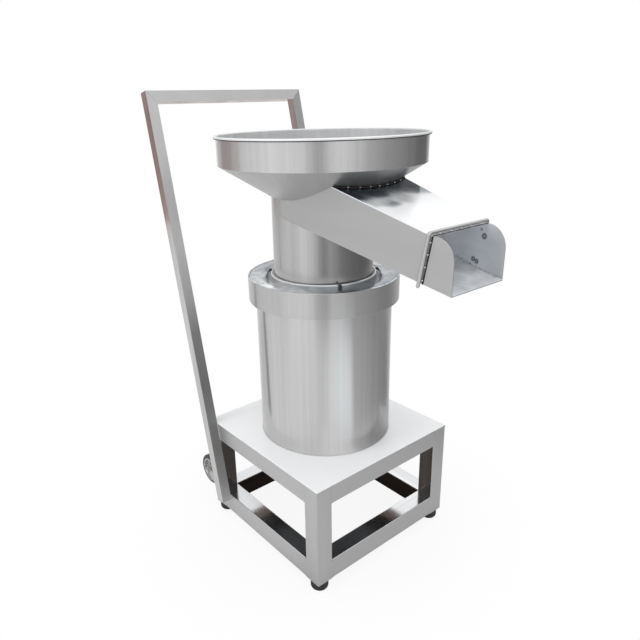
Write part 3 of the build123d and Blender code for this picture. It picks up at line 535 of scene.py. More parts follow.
# %% Satin rolled wall
def rolled_finish(name, level, contrast, bands, shift, rough, top_painted_reflection_level=None, inner_painted_level=None, painted_chute_shade=1.0):
    """Satin rolled sheet, with painted light where asked: reflection patches on up faces, a level for faces that
    look to the axis, and shade towards the chute.
    """
    material, tree, shader = start_material(name)
    polish = use_group(tree, round_polish, {"Bands": bands, "Fineness": 900.0, "Shift": shift})
    cloud = use_group(tree, smudges, {"Size": 4.0})
    tone = times(tree, spread(tree, polish["Band"], 1 - contrast, 1 + contrast),
                 spread(tree, polish["Streak"], 1 - contrast * 0.5, 1 + contrast * 0.5))
    tone = times(tree, tone, spread(tree, polish["Line"], 0.97, 1.03))
    # Painted shade: the wall is darker on the side that faces +X, towards the chute.
    tone = times(tree, tone, ease(tree, polish["Front"], 0.45, 0.92, 1.0, painted_chute_shade))
    tone = times(tree, tone, either(tree, polish["Seam"], 1.0, 0.90))
    colour, metallic = grey(level), 0.92
    grain_rough = spread(tree, polish["Grain"], rough - 0.01, rough + 0.01)
    grain_rough = maths(tree, "ADD", grain_rough, spread(tree, cloud["Cloud"], -0.015, 0.015))
    # Painted light: faces that look to the axis get a colour level of their own.
    if inner_painted_level is not None:
        colour = blend_colours(tree, polish["Inner"], colour, grey(inner_painted_level, -0.01))
        metallic = either(tree, polish["Inner"], metallic, 0.45)
    height, strength = polish["Grain"], 0.003
    if top_painted_reflection_level is not None:
        up = ease(tree, along(tree, (0, 0, 1)), 0.6, 0.9)
        height = either(tree, up, height, times(tree, cloud["Cloud"], 900.0))
        place = own_place(tree)
        # Painted reflection: faces that look up get dark bluish and bright patches.
        painted_reflection_patch = spread(tree, noise(tree, place, 24.0, 3.0, Distortion=1.0), -0.2, 1.1)
        top = blend_colours(tree, painted_reflection_patch, (top_painted_reflection_level * 0.42, top_painted_reflection_level * 0.48, top_painted_reflection_level * 0.54, 1),
                            (top_painted_reflection_level * 1.45, top_painted_reflection_level * 1.50, top_painted_reflection_level * 1.55, 1))
        colour = blend_colours(tree, up, colour, top)
        grain_rough = either(tree, up, grain_rough, 0.10)
    finish_steel(tree, shader, scale_colour(tree, colour, tone), grain_rough, metallic, height, strength)
    shader.inputs["Anisotropic"].default_value = 0.6
    shader.inputs["Anisotropic Rotation"].default_value = 0.25
    tangent = add(tree, "ShaderNodeTangent", direction_type="RADIAL", axis="Z")
    tree.links.new(tangent.outputs[0], shader.inputs["Tangent"])
    return material


barrel_finish = rolled_finish("rolled_barrel", 0.665, 0.05, 1.6, 0.0, 0.18)
collar_finish = rolled_finish("rolled_collar", 0.62, 0.06, 1.9, 2.0, 0.21, top_painted_reflection_level=0.70)
cylinder_finish = rolled_finish("rolled_upper_cylinder", 0.58, 0.07, 1.5, 4.0, 0.21, painted_chute_shade=0.56)
band_finish = rolled_finish("rolled_dish_band", 0.62, 0.10, 2.2, 6.0, 0.20, inner_painted_level=0.62)
cone_finish = rolled_finish("rolled_cone", 0.56, 0.03, 1.4, 8.0, 0.34, inner_painted_level=0.80)
print("rolled finishes made")


# %% [markdown]
# White sheet: the cart's top plate, the chute's roof and floor and the pan. It faces up, so it shows the
# white ceiling. Its faces that look up and its faces below are painted at two levels, painted light and
# shade: bright above, near black under the top plate and bright under the roof, inside the chute. The top
# plate also glows in the other steel at a painted level for each bearing. The roof is almost a mirror, a
# little wavy, and near the weld to the cone its sheet is painted dark blue-grey, a painted reflection of
# the cone. A little mottling keeps each from looking printed.

# %% Sheet that faces up
# Painted reflection on the collar cover: a colour for each bearing round the axis.
cover_painted_reflection_stops = [
    (-180, (0.46, 0.50, 0.53)), (-160, (0.40, 0.44, 0.48)), (-131, (0.55, 0.58, 0.61)), (-108, (0.52, 0.56, 0.59)),
    (-90, (0.93, 0.97, 0.99)), (-68, (0.90, 0.94, 0.96)), (-40, (0.42, 0.46, 0.49)), (-8, (0.23, 0.26, 0.29)),
    (20, (0.28, 0.32, 0.36)), (38, (0.46, 0.49, 0.52)), (90, (0.60, 0.62, 0.64)), (180, (0.46, 0.50, 0.53)),
]


def sheet_finish(name, level, rough, mottle, metallic, under_painted_level, wave=2.0, painted_dark_reach=None, glow_in_steel_stops=None,
                 cloud_size=7.0, painted_reflection_colours=None):
    """Flat sheet with a soft mottle and painted light: a level above, another below, and where given painted
    reflections and a painted glow in the steel.
    """
    material, tree, shader = start_material(name)
    grain = use_group(tree, straight_grain, {"Stretch": (0.05, 1, 1), "Fineness": 900.0})
    cloud = use_group(tree, smudges, {"Size": cloud_size})
    tone = times(tree, spread(tree, cloud["Cloud"], 1 - mottle, 1 + mottle),
                 spread(tree, grain["Tone"], 1 - mottle * 0.4, 1 + mottle * 0.4))
    # Painted light and shade: faces that look up get one level, the faces below a level of their own.
    up = ease(tree, along(tree, (0, 0, 1)), 0.3, 0.6)
    colour = blend_colours(tree, up, (under_painted_level * 0.95, under_painted_level, under_painted_level * 1.07, 1),
                           (level * 0.985, level, level * 1.012, 1))
    place = own_place(tree)
    # Painted reflection: where given, the colour is painted by bearing round the axis.
    if painted_reflection_colours is not None:
        colour = by_bearing(tree, place, painted_reflection_colours)
    # Painted reflection: near the cone the sheet is painted dark blue-grey, for the dark cone it mirrors, and made
    # a smooth mirror there.
    if painted_dark_reach is not None:
        reach = axes_of(tree, place)["X"]
        wavy = maths(tree, "ADD", reach, spread(tree, noise(tree, place, 11.0, 1.5), -0.035, 0.035))
        mask = times(tree, ease(tree, wavy, *painted_dark_reach, 1.0, 0.0), up)
        colour = blend_colours(tree, mask, colour, (0.20, 0.225, 0.25, 1))
        metallic, rough = either(tree, mask, metallic, 1.0), either(tree, mask, rough, 0.10)
    shine = either(tree, up, 0.35, metallic)
    fine = maths(tree, "ADD", rough, spread(tree, grain["Grain"], -0.03, 0.03))
    grain_rough = either(tree, up, 0.4, fine)
    height = maths(tree, "ADD", grain["Grain"], times(tree, cloud["Cloud"], wave * 4))
    finish_steel(tree, shader, scale_colour(tree, colour, tone), grain_rough, shine, height, 0.02)
    # Painted reflection: in the steel that reflects it, the sheet's up faces glow at a painted level for each
    # bearing.
    if glow_in_steel_stops is not None:
        level = add(tree, "ShaderNodeEmission", {"Color": by_bearing(tree, place, glow_in_steel_stops), "Strength": 1.0})
        in_steel = times(tree, add(tree, "ShaderNodeLightPath").outputs["Is Glossy Ray"], up)
        shown = add(tree, "ShaderNodeMixShader", {0: in_steel, 1: shader.outputs[0], 2: level.outputs[0]})
        tree.links.new(shown.outputs[0], tree.nodes["Material Output"].inputs["Surface"])
    return material


plate_finish = sheet_finish("white_top_plate", 0.97, 0.42, 0.010, 0.10, 0.08, glow_in_steel_stops=plate_painted_glow_stops)
roof_finish = sheet_finish("bright_chute_roof", 0.97, 0.24, 0.02, 0.22, 0.95, wave=30.0, painted_dark_reach=(0.226, 0.292))
floor_sheet_finish = sheet_finish("bright_chute_floor", 0.83, 0.17, 0.26, 0.45, 0.45, wave=60.0, cloud_size=13.0)
cover_finish = sheet_finish("collar_cover_sheet", 0.62, 0.18, 0.36, 0.72, 0.30, wave=60.0, glow_in_steel_stops=plate_painted_glow_stops,
                            cloud_size=30.0, painted_reflection_colours=cover_painted_reflection_stops)
print("sheet finishes made")

# %% [markdown]
# The side plates of the chute are satin outside. Inside they are smoother, bluish and blotched, with painted
# light: much lighter than outside, and darker towards the spout's mouth. The left one carries the heat rings.

# %% Chute side plates
heat_marks = [
    ((0.4264, 0.0945, 0.9490), 0.0010, 0.0042),
    ((0.4350, 0.0936, 0.9350), 0.0050, 0.0044),
    ((0.4086, 0.0962, 0.8790), 0.0042, 0.0038),
    ((0.4185, 0.0952, 0.8750), 0.0042, 0.0038),
]

side_finish, tree, shader = start_material("chute_side_satin")
grain = use_group(tree, straight_grain, {"Stretch": (0.04, 1, 1), "Fineness": 800.0})
cloud = use_group(tree, smudges, {"Size": 9.0})
place = own_place(tree)
side = maths(tree, "SIGN", axes_of(tree, place)["Y"])
outward = times(tree, along(tree, (0, 1, 0)), side)
inside = ease(tree, outward, 0.0, -0.5)
# Painted light inside: a pale bluish colour, darker towards the spout's mouth.
blotched = blend_colours(tree, spread(tree, cloud["Cloud"], 0, 1), (0.66, 0.70, 0.76, 1), (0.96, 0.97, 1.0, 1))
reach = axes_of(tree, place)["X"]
blotched = scale_colour(tree, blotched, ease(tree, reach, 0.415, 0.485, 1.04, 0.62))
heat = None
for centre, radius, width in heat_marks:
    mask = use_group(tree, heat_ring, {"Centre": centre, "Radius": radius, "Width": width})["Mask"]
    heat = mask if heat is None else maths(tree, "MAXIMUM", heat, mask)
blotched = blend_colours(tree, heat, blotched, (0.055, 0.040, 0.035, 1))
both_sides = blend_colours(tree, inside, grey(0.505), blotched)
toned = scale_colour(tree, both_sides, spread(tree, grain["Tone"], 0.98, 1.02))
rough = either(tree, inside, spread(tree, grain["Grain"], 0.36, 0.46), 0.30)
finish_steel(tree, shader, toned, rough, either(tree, inside, 0.72, 0.12), grain["Grain"])
print("side plates:", len(heat_marks), "heat marks")


# %% [markdown]
# The rest of the machine is rubber, plastic, cast iron, black nuts and zinc plated screws. Each gets a
# colour that varies a little, a roughness that varies with it, and the small relief its making leaves.

# %% Small finishes
def moulded_finish(name, colour, variation, low_rough, high_rough, relief, scale, metallic=0.0):
    """Moulded, cast or plated surface with a fine relief."""
    material, tree, shader = start_material(name)
    cloud = use_group(tree, smudges, {"Size": scale})
    dark = tuple(value * (1 - variation) for value in colour[:3]) + (1,)
    light = tuple(min(1.0, value * (1 + variation)) for value in colour[:3]) + (1,)
    mixed = blend_colours(tree, cloud["Cloud"], dark, light)
    dusty = blend_colours(tree, times(tree, cloud["Speck"], 0.2), mixed, grey(0.35))
    place = own_place(tree)
    finish_steel(tree, shader, dusty, spread(tree, cloud["Cloud"], low_rough, high_rough), metallic,
                 noise(tree, place, 900.0), relief)
    return material


rubber_finish = moulded_finish("black_rubber", grey(0.022), 0.3, 0.45, 0.65, 0.25, 40.0)
tyre_finish = moulded_finish("grey_tyre", (0.036, 0.038, 0.050, 1), 0.25, 0.3, 0.5, 0.3, 30.0)
hub_finish = moulded_finish("hub_plastic", grey(0.42), 0.12, 0.12, 0.25, 0.1, 30.0)
nut_finish = moulded_finish("black_nuts", grey(0.018), 0.3, 0.25, 0.4, 0.1, 60.0)
zinc_finish = moulded_finish("zinc_plated", (0.62, 0.62, 0.58, 1), 0.08, 0.25, 0.4, 0.1, 50.0, metallic=1.0)
bead_finish = moulded_finish("weld_bead", grey(0.60), 0.10, 0.30, 0.42, 0.1, 90.0, metallic=0.85)
fork_finish = moulded_finish("satin_fork", grey(0.52), 0.06, 0.32, 0.42, 0.05, 40.0, metallic=0.8)
rod_finish = moulded_finish("polished_rod", grey(0.62), 0.04, 0.20, 0.28, 0.03, 40.0, metallic=0.9)
wiper_finish = moulded_finish("grey_wiper", grey(0.40), 0.05, 0.25, 0.45, 0.1, 60.0)
trim_finish = moulded_finish("polished_trim", (0.80, 0.81, 0.82, 1), 0.03, 0.12, 0.2, 0.02, 30.0, metallic=0.9)
cast_finish = moulded_finish("painted_cast_iron", (0.16, 0.19, 0.22, 1), 0.12, 0.4, 0.6, 0.5, 25.0)
ground_finish = moulded_finish("ground_steel", grey(0.55), 0.05, 0.18, 0.28, 0.05, 50.0, metallic=1.0)
switch_finish = moulded_finish("switch_plastic", grey(0.03), 0.2, 0.2, 0.35, 0.1, 60.0)
mark_finish = moulded_finish("switch_marks", grey(0.8), 0.03, 0.4, 0.5, 0.05, 60.0)
gland_finish = moulded_finish("gland_plastic", grey(0.035), 0.2, 0.4, 0.55, 0.2, 60.0)
gasket_finish = moulded_finish("silicone_gasket", (0.70, 0.70, 0.66, 1), 0.05, 0.45, 0.6, 0.1, 30.0)
rim_finish = moulded_finish("rolled_rim", (0.88, 0.89, 0.90, 1), 0.03, 0.3, 0.4, 0.05, 50.0, metallic=0.5)
# Black for painted shadow in gaps and recesses: under the dish's rim, in the roof's joint and in front of the
# hoop.
painted_shadow_finish = moulded_finish("painted_shadow_black", (0.012, 0.009, 0.008, 1), 0.4, 0.5, 0.7, 0.3, 60.0)
bright_bead = moulded_finish("bright_bead", (0.90, 0.91, 0.93, 1), 0.04, 0.2, 0.35, 0.1, 90.0, metallic=0.6)
wire_finish = moulded_finish("sieve_wire", grey(0.66), 0.10, 0.22, 0.34, 0.05, 80.0, metallic=0.9)
print("small finishes made")

# %% [markdown]
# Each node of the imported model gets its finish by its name. The names say what each piece is, so short
# rules cover the sixty of them.

# %% Give every node its finish
finish_of = {
    "top_plate": plate_finish, "handle_top_bar": satin_handle, "handle_post_left": satin_far_post_painted_shade,
    "barrel": barrel_finish,
    "collar": collar_finish, "mount_ring": barrel_finish, "isolation_mounts": rubber_finish,
    "guide_studs": zinc_finish, "guide_nuts": nut_finish, "switch_bezel": switch_finish,
    "switch_rocker": switch_finish, "cable_gland": gland_finish, "deck": plate_finish,
    "deck_bolts": zinc_finish, "motor_housing": cast_finish, "motor_bolts": zinc_finish,
    "weight_covers": band_finish, "bearings": ground_finish, "motor_shaft": ground_finish,
    "rotor_core": ground_finish, "upper_weight": cast_finish, "lower_weight": cast_finish,
    "body_shell": cylinder_finish, "discharge_pan": floor_sheet_finish, "chute_floor": floor_sheet_finish,
    "chute_roof": roof_finish, "chute_hoop": rod_finish, "hopper_cone": cone_finish,
    "hopper_band": band_finish, "sieve_seat": cone_finish, "sieve_gasket": gasket_finish,
    "sieve_frame": cone_finish, "sieve_mesh": wire_finish,
}
finish_by_start = [
    ("leg_", satin_upright), ("foot_", rubber_finish), ("handle_post_", satin_handle),
    ("wheel_fork_", fork_finish), ("axle_", zinc_finish), ("tyre_", tyre_finish), ("hub_", hub_finish),
    ("chute_side_", side_finish), ("top_rail_front", satin_along_y), ("top_rail_rear", satin_along_y),
    ("lower_rail_front", satin_along_y), ("lower_rail_rear", satin_along_y),
    ("top_rail_", satin_along_x), ("lower_rail_", satin_along_x),
]


def finish_for(name):
    """The finish of a node, by its own name or by how its name starts."""
    if name in finish_of:
        return finish_of[name]
    return next(finish for start, finish in finish_by_start if name.startswith(start))


for name, node in nodes.items():
    for slot in node.material_slots:
        slot.material = finish_for(name)
print("finishes on", len(nodes), "nodes")

# %% [markdown]
# What repeats is made with Geometry Nodes. The first tree lays a weld bead along a path: it walks the path
# in equal steps, puts a flattened ball on each step, turned along the path, and the overlapping balls read
# as the ripples of a weld. One tree serves every weld, with the width, height and step as its inputs.

# %% Tools for Geometry Nodes
def start_tree(name, inputs):
    """A geometry tree with its named inputs, and a table of their identifiers."""
    tree = bpy.data.node_groups.new(name, "GeometryNodeTree")
    tree.interface.new_socket("Geometry", in_out="INPUT", socket_type="NodeSocketGeometry")
    sockets = {}
    for label, kind, value in inputs:
        socket = tree.interface.new_socket(label, in_out="INPUT", socket_type=kind)
        if value is not None:
            socket.default_value = value
        sockets[label] = socket.identifier
    tree.interface.new_socket("Geometry", in_out="OUTPUT", socket_type="NodeSocketGeometry")
    return tree, sockets, tree.nodes.new("NodeGroupInput").outputs, tree.nodes.new("NodeGroupOutput").inputs


def end_tree(tree, last, given, result):
    """Makes copies real, coats them and passes them on."""
    real = add(tree, "GeometryNodeRealizeInstances", {0: last.outputs[0]})
    coated = add(tree, "GeometryNodeSetMaterial", {"Geometry": real.outputs[0], "Material": given["Material"]})
    tree.links.new(coated.outputs[0], result["Geometry"])


def grow(name, mesh, tree, sockets, values, material, body, smooth=True):
    """Runs a tree on a mesh, keeps the result as a plain piece and puts it on its body."""
    source = bpy.data.objects.new(name + "_path", mesh)
    bpy.context.collection.objects.link(source)
    modifier = source.modifiers.new("tree", "NODES")
    modifier.node_group = tree
    for label, value in values.items():
        modifier[sockets[label]] = value
    modifier[sockets["Material"]] = material
    evaluated = source.evaluated_get(bpy.context.evaluated_depsgraph_get())
    result = bpy.data.meshes.new_from_object(evaluated)
    bpy.data.objects.remove(source)
    return keep_piece(name, result, material, body, smooth)


def keep_piece(name, mesh, material, body, smooth=True):
    """Makes an object of a finished mesh and lets it ride."""
    mesh.name = name
    piece = bpy.data.objects.new(name, mesh)
    bpy.context.collection.objects.link(piece)
    mesh.materials.clear()
    mesh.materials.append(material)
    mesh.polygons.foreach_set("material_index", [0] * len(mesh.polygons))
    mesh.polygons.foreach_set("use_smooth", [smooth] * len(mesh.polygons))
    if body is not None:
        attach(piece, body)
    return piece


def line_mesh(name, runs):
    """A mesh of edges only: each run is a list of points, closed if its last point is its first."""
    mesh = bpy.data.meshes.new(name)
    points, edges = [], []
    for run in runs:
        closed = (Vector(run[0]) - Vector(run[-1])).length < 1e-6
        chain = run[:-1] if closed else run
        start = len(points)
        points += [tuple(point) for point in chain]
        edges += [(start + i, start + i + 1) for i in range(len(chain) - 1)]
        if closed:
            edges.append((start + len(chain) - 1, start))
    mesh.from_pydata(points, edges, [])
    return mesh


def circle_points(radius, height, count=144, start=0.0, sweep=2 * math.pi):
    """Points on a level circle or arc about the machine's axis."""
    angles = [start + sweep * i / count for i in range(count + 1)]
    return [(radius * math.cos(a), radius * math.sin(a), height) for a in angles]


print("geometry tools ready")

# %% Weld bead tree
bead_tree, bead_sockets, given, result = start_tree(
    "Weld bead",
    [("Width", "NodeSocketFloat", 0.004), ("Height", "NodeSocketFloat", 0.0015),
     ("Step", "NodeSocketFloat", 0.0022), ("Material", "NodeSocketMaterial", None)],
)
to_curve = add(bead_tree, "GeometryNodeMeshToCurve", {"Mesh": given["Geometry"]})
steps = add(bead_tree, "GeometryNodeResampleCurve", {"Curve": to_curve.outputs[0], "Length": given["Step"]},
            mode="LENGTH")
ball = add(bead_tree, "GeometryNodeMeshUVSphere", {"Segments": 8, "Rings": 5, "Radius": 0.5})
tangent = add(bead_tree, "GeometryNodeInputTangent")
turned = add(bead_tree, "FunctionNodeAlignEulerToVector", {"Vector": tangent.outputs[0]}, axis="X")
size = add(bead_tree, "ShaderNodeCombineXYZ", {0: times(bead_tree, given["Step"], 2.4),
                                               1: given["Width"], 2: given["Height"]})
placed = add(bead_tree, "GeometryNodeInstanceOnPoints",
             {"Points": steps.outputs[0], "Instance": ball.outputs["Mesh"], "Rotation": turned.outputs[0],
              "Scale": size.outputs[0]})
end_tree(bead_tree, placed, given, result)
print("tree", bead_tree.name)

# %% [markdown]
# The welds on the cart's body: the barrel is welded to the top plate all round, the handle's posts are
# welded to the sides of the frame, and the corners of the handle are mitred and welded.

# %% Welds of the cart
plate_low, plate_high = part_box("top_plate")
barrel_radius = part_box("barrel")[1].y
frame_side = -plate_low.y


def lay_beads(name, runs, width, height, step, body, finish=bead_finish):
    """One piece of weld beads along several runs."""
    values = {"Width": width, "Height": height, "Step": step}
    mesh = line_mesh(name, runs)
    return grow(name, mesh, bead_tree, bead_sockets, values, finish, body)


barrel_weld = lay_beads("barrel_weld", [circle_points(barrel_radius + 0.0003, plate_high.z + 0.0002)],
                        0.0022, 0.0020, 0.0016, "cart")
handle_front_at_plate = -0.1565 - (plate_high.z - 0.080) * math.tan(handle_lean)
post_welds = []
for side in (-1, 1):
    for setback in (0.0, 0.0300 / math.cos(handle_lean)):
        for low, high in ((plate_high.z - 0.049, plate_high.z - 0.002), (0.0815, 0.0895)):
            run = []
            for step in range(9):
                z = low + (high - low) * step / 8
                x = handle_front_at_plate + (plate_high.z - z) * math.tan(handle_lean) - setback
                gap = (plate_high.z - z) * 0.0126
                run.append((x, side * (frame_side + gap * 0.5), z))
            post_welds.append(run)
handle_welds = lay_beads("handle_welds", post_welds, 0.0042, 0.0042, 0.0024, "cart")
print("weld beads:", len(barrel_weld.data.polygons) + len(handle_welds.data.polygons), "faces")

# %% [markdown]
# The handle's corners are cut at 45 degrees, welded and ground, and a fine line stays along each cut. On the
# cart the welds between rails and legs were ground flush and polished over, so the rounded edges of the
# tubes don't show as grooves there. Each joint gets a thin strip with sloping sides that fills the groove.

# %% Corners of the handle
handle_up = Vector((-math.sin(handle_lean), 0, math.cos(handle_lean)))
handle_out = Vector((math.cos(handle_lean), 0, math.sin(handle_lean)))
handle_foot = Vector((-0.1565, 0, 0.080))
handle_length = math.hypot(1.185, 0.261)
handle_side = 0.030
top_half_width = (0.2385, 0.23886)


def on_handle(across, rise, out):
    """A point in the handle's leaning plane."""
    return handle_foot + Vector((0, across, 0)) + handle_up * rise + handle_out * out


mitres = []
for side in (-1, 1):
    for out in (0.0001, -handle_side - 0.0001):
        outer = on_handle(side * (top_half_width[0] + handle_side - 0.0008), handle_length - 0.0008, out)
        inner = on_handle(side * (top_half_width[1] + 0.0008), handle_length - handle_side + 0.0008, out)
        mitres.append([outer.lerp(inner, i / 12) for i in range(13)])
lay_beads("mitre_lines", mitres, 0.0012, 0.0012, 0.0010, "cart", finish=rod_finish)
print("mitre lines:", len(mitres))

# %% Ground joints of the cart
plate_corner = 0.0008
joint_section = ((-1.0, 0.0), (-0.6, 0.00022), (0.6, 0.00022), (1.0, 0.0), (0.4, -0.0012), (-0.4, -0.0012))


def join_rings(bm, first, second):
    """Faces between two rings of the same count."""
    for i in range(len(first)):
        j = (i + 1) % len(first)
        bm.faces.new((first[i], first[j], second[j], second[i]))


def close_rings(bm, rings):
    """A solid from rings in a row, with a face on each end."""
    for first, second in zip(rings, rings[1:]):
        join_rings(bm, first, second)
    bm.faces.new(rings[0])
    bm.faces.new(rings[-1])


def joint_ring(bm, point, across, half_width, out):
    """The section of a ground joint at a point."""
    return [bm.verts.new(point + across * side * half_width + out * rise) for side, rise in joint_section]


def add_strip(bm, start, end, across, out, half_width):
    """A thin strip with sloping sides, from start to end."""
    close_rings(bm, [joint_ring(bm, Vector(point), across, half_width, out) for point in (start, end)])


def finish_mesh(name, bm):
    """A mesh of what was built, with its faces outwards."""
    bmesh.ops.recalc_face_normals(bm, faces=bm.faces)
    mesh = bpy.data.meshes.new(name)
    bm.to_mesh(mesh)
    bm.free()
    return mesh


up = Vector((0, 0, 1))
upright_joints, level_joints = bmesh.new(), bmesh.new()
for level in ("top_rail_", "lower_rail_"):
    for place in ("front", "rear", "left", "right"):
        low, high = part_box(level + place)
        lengthwise = 1 if place in ("front", "rear") else 0
        sideways = 1 - lengthwise
        out_sign = 1 if high[sideways] + low[sideways] > 0 else -1
        out, across = Vector((0, 0, 0)), Vector((0, 0, 0))
        out[sideways], across[lengthwise] = out_sign, 1.0
        for end in (low[lengthwise], high[lengthwise]):
            foot = Vector((0, 0, low.z + 0.001))
            foot[sideways] = high[sideways] if out_sign > 0 else low[sideways]
            foot[lengthwise] = end
            head = Vector((foot.x, foot.y, high.z - 0.001))
            add_strip(upright_joints, foot, head, across, out, 0.0032)

# One more joint runs all round, between the plate and what carries it, and follows the plate's corners.
rings = []
for quarter in range(4):
    for step in range(7):
        angle = math.pi / 2 * (quarter + step / 6)
        out = Vector((math.cos(angle), math.sin(angle), 0))
        middle = math.pi / 2 * (quarter + 0.5)
        centre = Vector((math.copysign(1, math.cos(middle)), math.copysign(1, math.sin(middle)), 0))
        point = centre * (frame_side - plate_corner) + out * plate_corner + Vector((0, 0, plate_low.z))
        half = (plate_high.z - plate_low.z) * 0.75
        rings.append(joint_ring(level_joints, point, up, half, out))
for first, second in zip(rings, rings[1:] + rings[:1]):
    join_rings(level_joints, first, second)
keep_piece("ground_joints_upright", finish_mesh("upright", upright_joints), satin_upright, "cart",
           smooth=False)
keep_piece("ground_joints_level", finish_mesh("level", level_joints), satin_along_x, "cart",
           smooth=False)
print("plate thickness", round(plate_high.z - plate_low.z, 4))

# %% [markdown]
# The collar is closed by a polished cover sheet that lies just under its rim, above the recessed sheet of the
# imported model; the cover's colour is a painted reflection, a level for each bearing. Round the upper cylinder it
# has a neck with a rolled edge, and the cylinder carries a soft ring that keeps powder out of the gap. All
# three are turned shapes: an outline of radius and height, spun about the machine's axis. The soft ring
# moves with the sieve head and stays clear of the neck. The dish's edge is rolled round a wire, which
# shows as a bright line; the fine dark line below it is a black ring of painted shadow, in the recess under the
# roll.

# %% Cover sheet, neck trim, dust ring and dish rim
def lathe(name, outline, count=160):
    """A closed ring turned from a closed outline of (radius, height)."""
    bm = bmesh.new()
    rings = []
    for i in range(count):
        angle = 2 * math.pi * i / count
        rings.append([bm.verts.new((r * math.cos(angle), r * math.sin(angle), z)) for r, z in outline])
    for i in range(count):
        first, second = rings[i], rings[(i + 1) % count]
        for j in range(len(outline)):
            k = (j + 1) % len(outline)
            bm.faces.new((first[j], second[j], second[k], first[k]))
    return finish_mesh(name, bm)


def arc(centre, radius, start, end, count):
    """Points of an arc in an outline, angles in degrees."""
    angles = [math.radians(start + (end - start) * i / count) for i in range(count + 1)]
    return [(centre[0] + radius * math.cos(a), centre[1] + radius * math.sin(a)) for a in angles]


cover_outline = [(0.1430, 0.7835), (0.2018, 0.7835)] + arc((0.2003, 0.7855), 0.0015, 0, 90, 5) + [(0.1430, 0.7870)]
collar_cover = keep_piece("collar_cover", lathe("collar_cover", cover_outline), cover_finish, "cart")
trim_outline = [(0.1426, 0.7836), (0.1432, 0.7836)] + arc((0.1416, 0.7893), 0.0016, 0, 180, 8)
trim_outline += [(0.1400, 0.7872), (0.1404, 0.7872), (0.1404, 0.7894), (0.1426, 0.7894)]
neck_trim = keep_piece("neck_trim", lathe("neck_trim", trim_outline), trim_finish, "cart")
dust_outline = [(0.1346, 0.7840), (0.1392, 0.7840)] + arc((0.1382, 0.7882), 0.0010, 0, 90, 5) + [(0.1346, 0.7896)]
dust_ring = keep_piece("dust_ring", lathe("dust_ring", dust_outline), wiper_finish, "sieve_head")
rim_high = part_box("hopper_band")[1]
rim_middle = (rim_high.x - 0.0006, rim_high.z - 0.0016)
keep_piece("dish_rim", lathe("dish_rim", arc(rim_middle, 0.0028, 0, 345, 14), 240), rim_finish, "sieve_head")
# A black ring paints the shadow in the recess under the rolled rim.
rim_shadow_middle = (rim_high.x + 0.0001, rim_middle[1] - 0.0036)
keep_piece("dish_rim_painted_shadow", lathe("dish_rim_painted_shadow", arc(rim_shadow_middle, 0.0009, 0, 300, 5), 240), painted_shadow_finish,
           "sieve_head")
print("rings:", [len(ring.data.polygons) for ring in (collar_cover, neck_trim, dust_ring)], "faces")

# %% [markdown]
# The sieve head stands on four rubber mounts inside the barrel. They are squeezed and stretched as the head
# bounces, so they can't ride on one body, and they ride on none. Each is turned with a waist and two
# shallow grooves.

# %% Rubber mounts
mount_angles = (57.0, 138.0, 220.0, 335.0)
mount_circle, mount_bore = 0.149, 0.0035
mount_low, mount_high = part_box("isolation_mounts")
mount_outline = [(mount_bore, mount_low.z), (0.0192, mount_low.z)]
for i in range(25):
    share = i / 24
    waist = 0.0200 - 0.0030 * math.sin(math.pi * share)
    groove = 0.0008 * max(0.0, math.cos(math.pi * (share - 0.5) * 8)) if 0.25 < share < 0.75 else 0.0
    mount_outline.append((waist - groove, mount_low.z + 0.0004 + (mount_high.z - mount_low.z - 0.0008) * share))
mount_outline += [(0.0192, mount_high.z), (mount_bore, mount_high.z)]
bm = bmesh.new()
for degrees in mount_angles:
    mount = lathe("mount", mount_outline, 40)
    mount.transform(Matrix.Rotation(math.radians(degrees), 4, "Z") @ Matrix.Translation((mount_circle, 0, 0)))
    bm.from_mesh(mount)
    bpy.data.meshes.remove(mount)
rubber_mounts = keep_piece("rubber_mounts", finish_mesh("rubber_mounts", bm), rubber_finish, None)
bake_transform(rubber_mounts)
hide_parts("isolation_mounts")
print("mounts:", len(mount_angles), "of", round(mount_high.z - mount_low.z, 4), "m")

# %% [markdown]
# The chute is tacked to the cone with a row of small dots, which the photograph shows as bright points on
# the dark seam, and the hoop is tacked to the side plates and the roof in the same way.

# %% Tacks on the chute and the hoop
def spot_mesh(name, spots, width):
    """A mesh of short lines, one for each tack, along X."""
    return line_mesh(name, [[(x - width / 2, y, z), (x + width / 2, y, z)] for x, y, z in spots])


shell_radius = 0.1345
cone_foot, cone_top, cone_top_radius = 0.997, 1.079, 0.268
cone_slope = (cone_top - cone_foot) / (cone_top_radius - shell_radius)
roof_at_axis, roof_slope = 1.090, 0.284
floor_at_axis, floor_slope = 0.953, 0.219
hoop_x, hoop_z = 0.436, 0.9662
chute_taper = math.radians(5.58)
side_distance = shell_radius + 0.002
hoop_lean = math.tan(math.radians(10.7))
hoop_front = 0.0052


def side_face(x, out=0.0):
    """Half width of the chute's outer face at x."""
    return (side_distance + out) / math.cos(chute_taper) - x * math.tan(chute_taper)


def roof_height(x):
    """Height of the roof's upper face."""
    return roof_at_axis - roof_slope * x


def floor_height(x):
    """Height of the floor's lower face."""
    return floor_at_axis - floor_slope * x


def roof_meets_cone(y, rounds):
    """X where the roof's upper face meets the cone, at y, found in a number of rounds."""
    x = 0.19
    for _ in range(rounds):
        z = cone_foot + (math.hypot(x, y) - shell_radius) * cone_slope
        x = (roof_at_axis - z) / roof_slope * 0.15 + x * 0.85
    return x


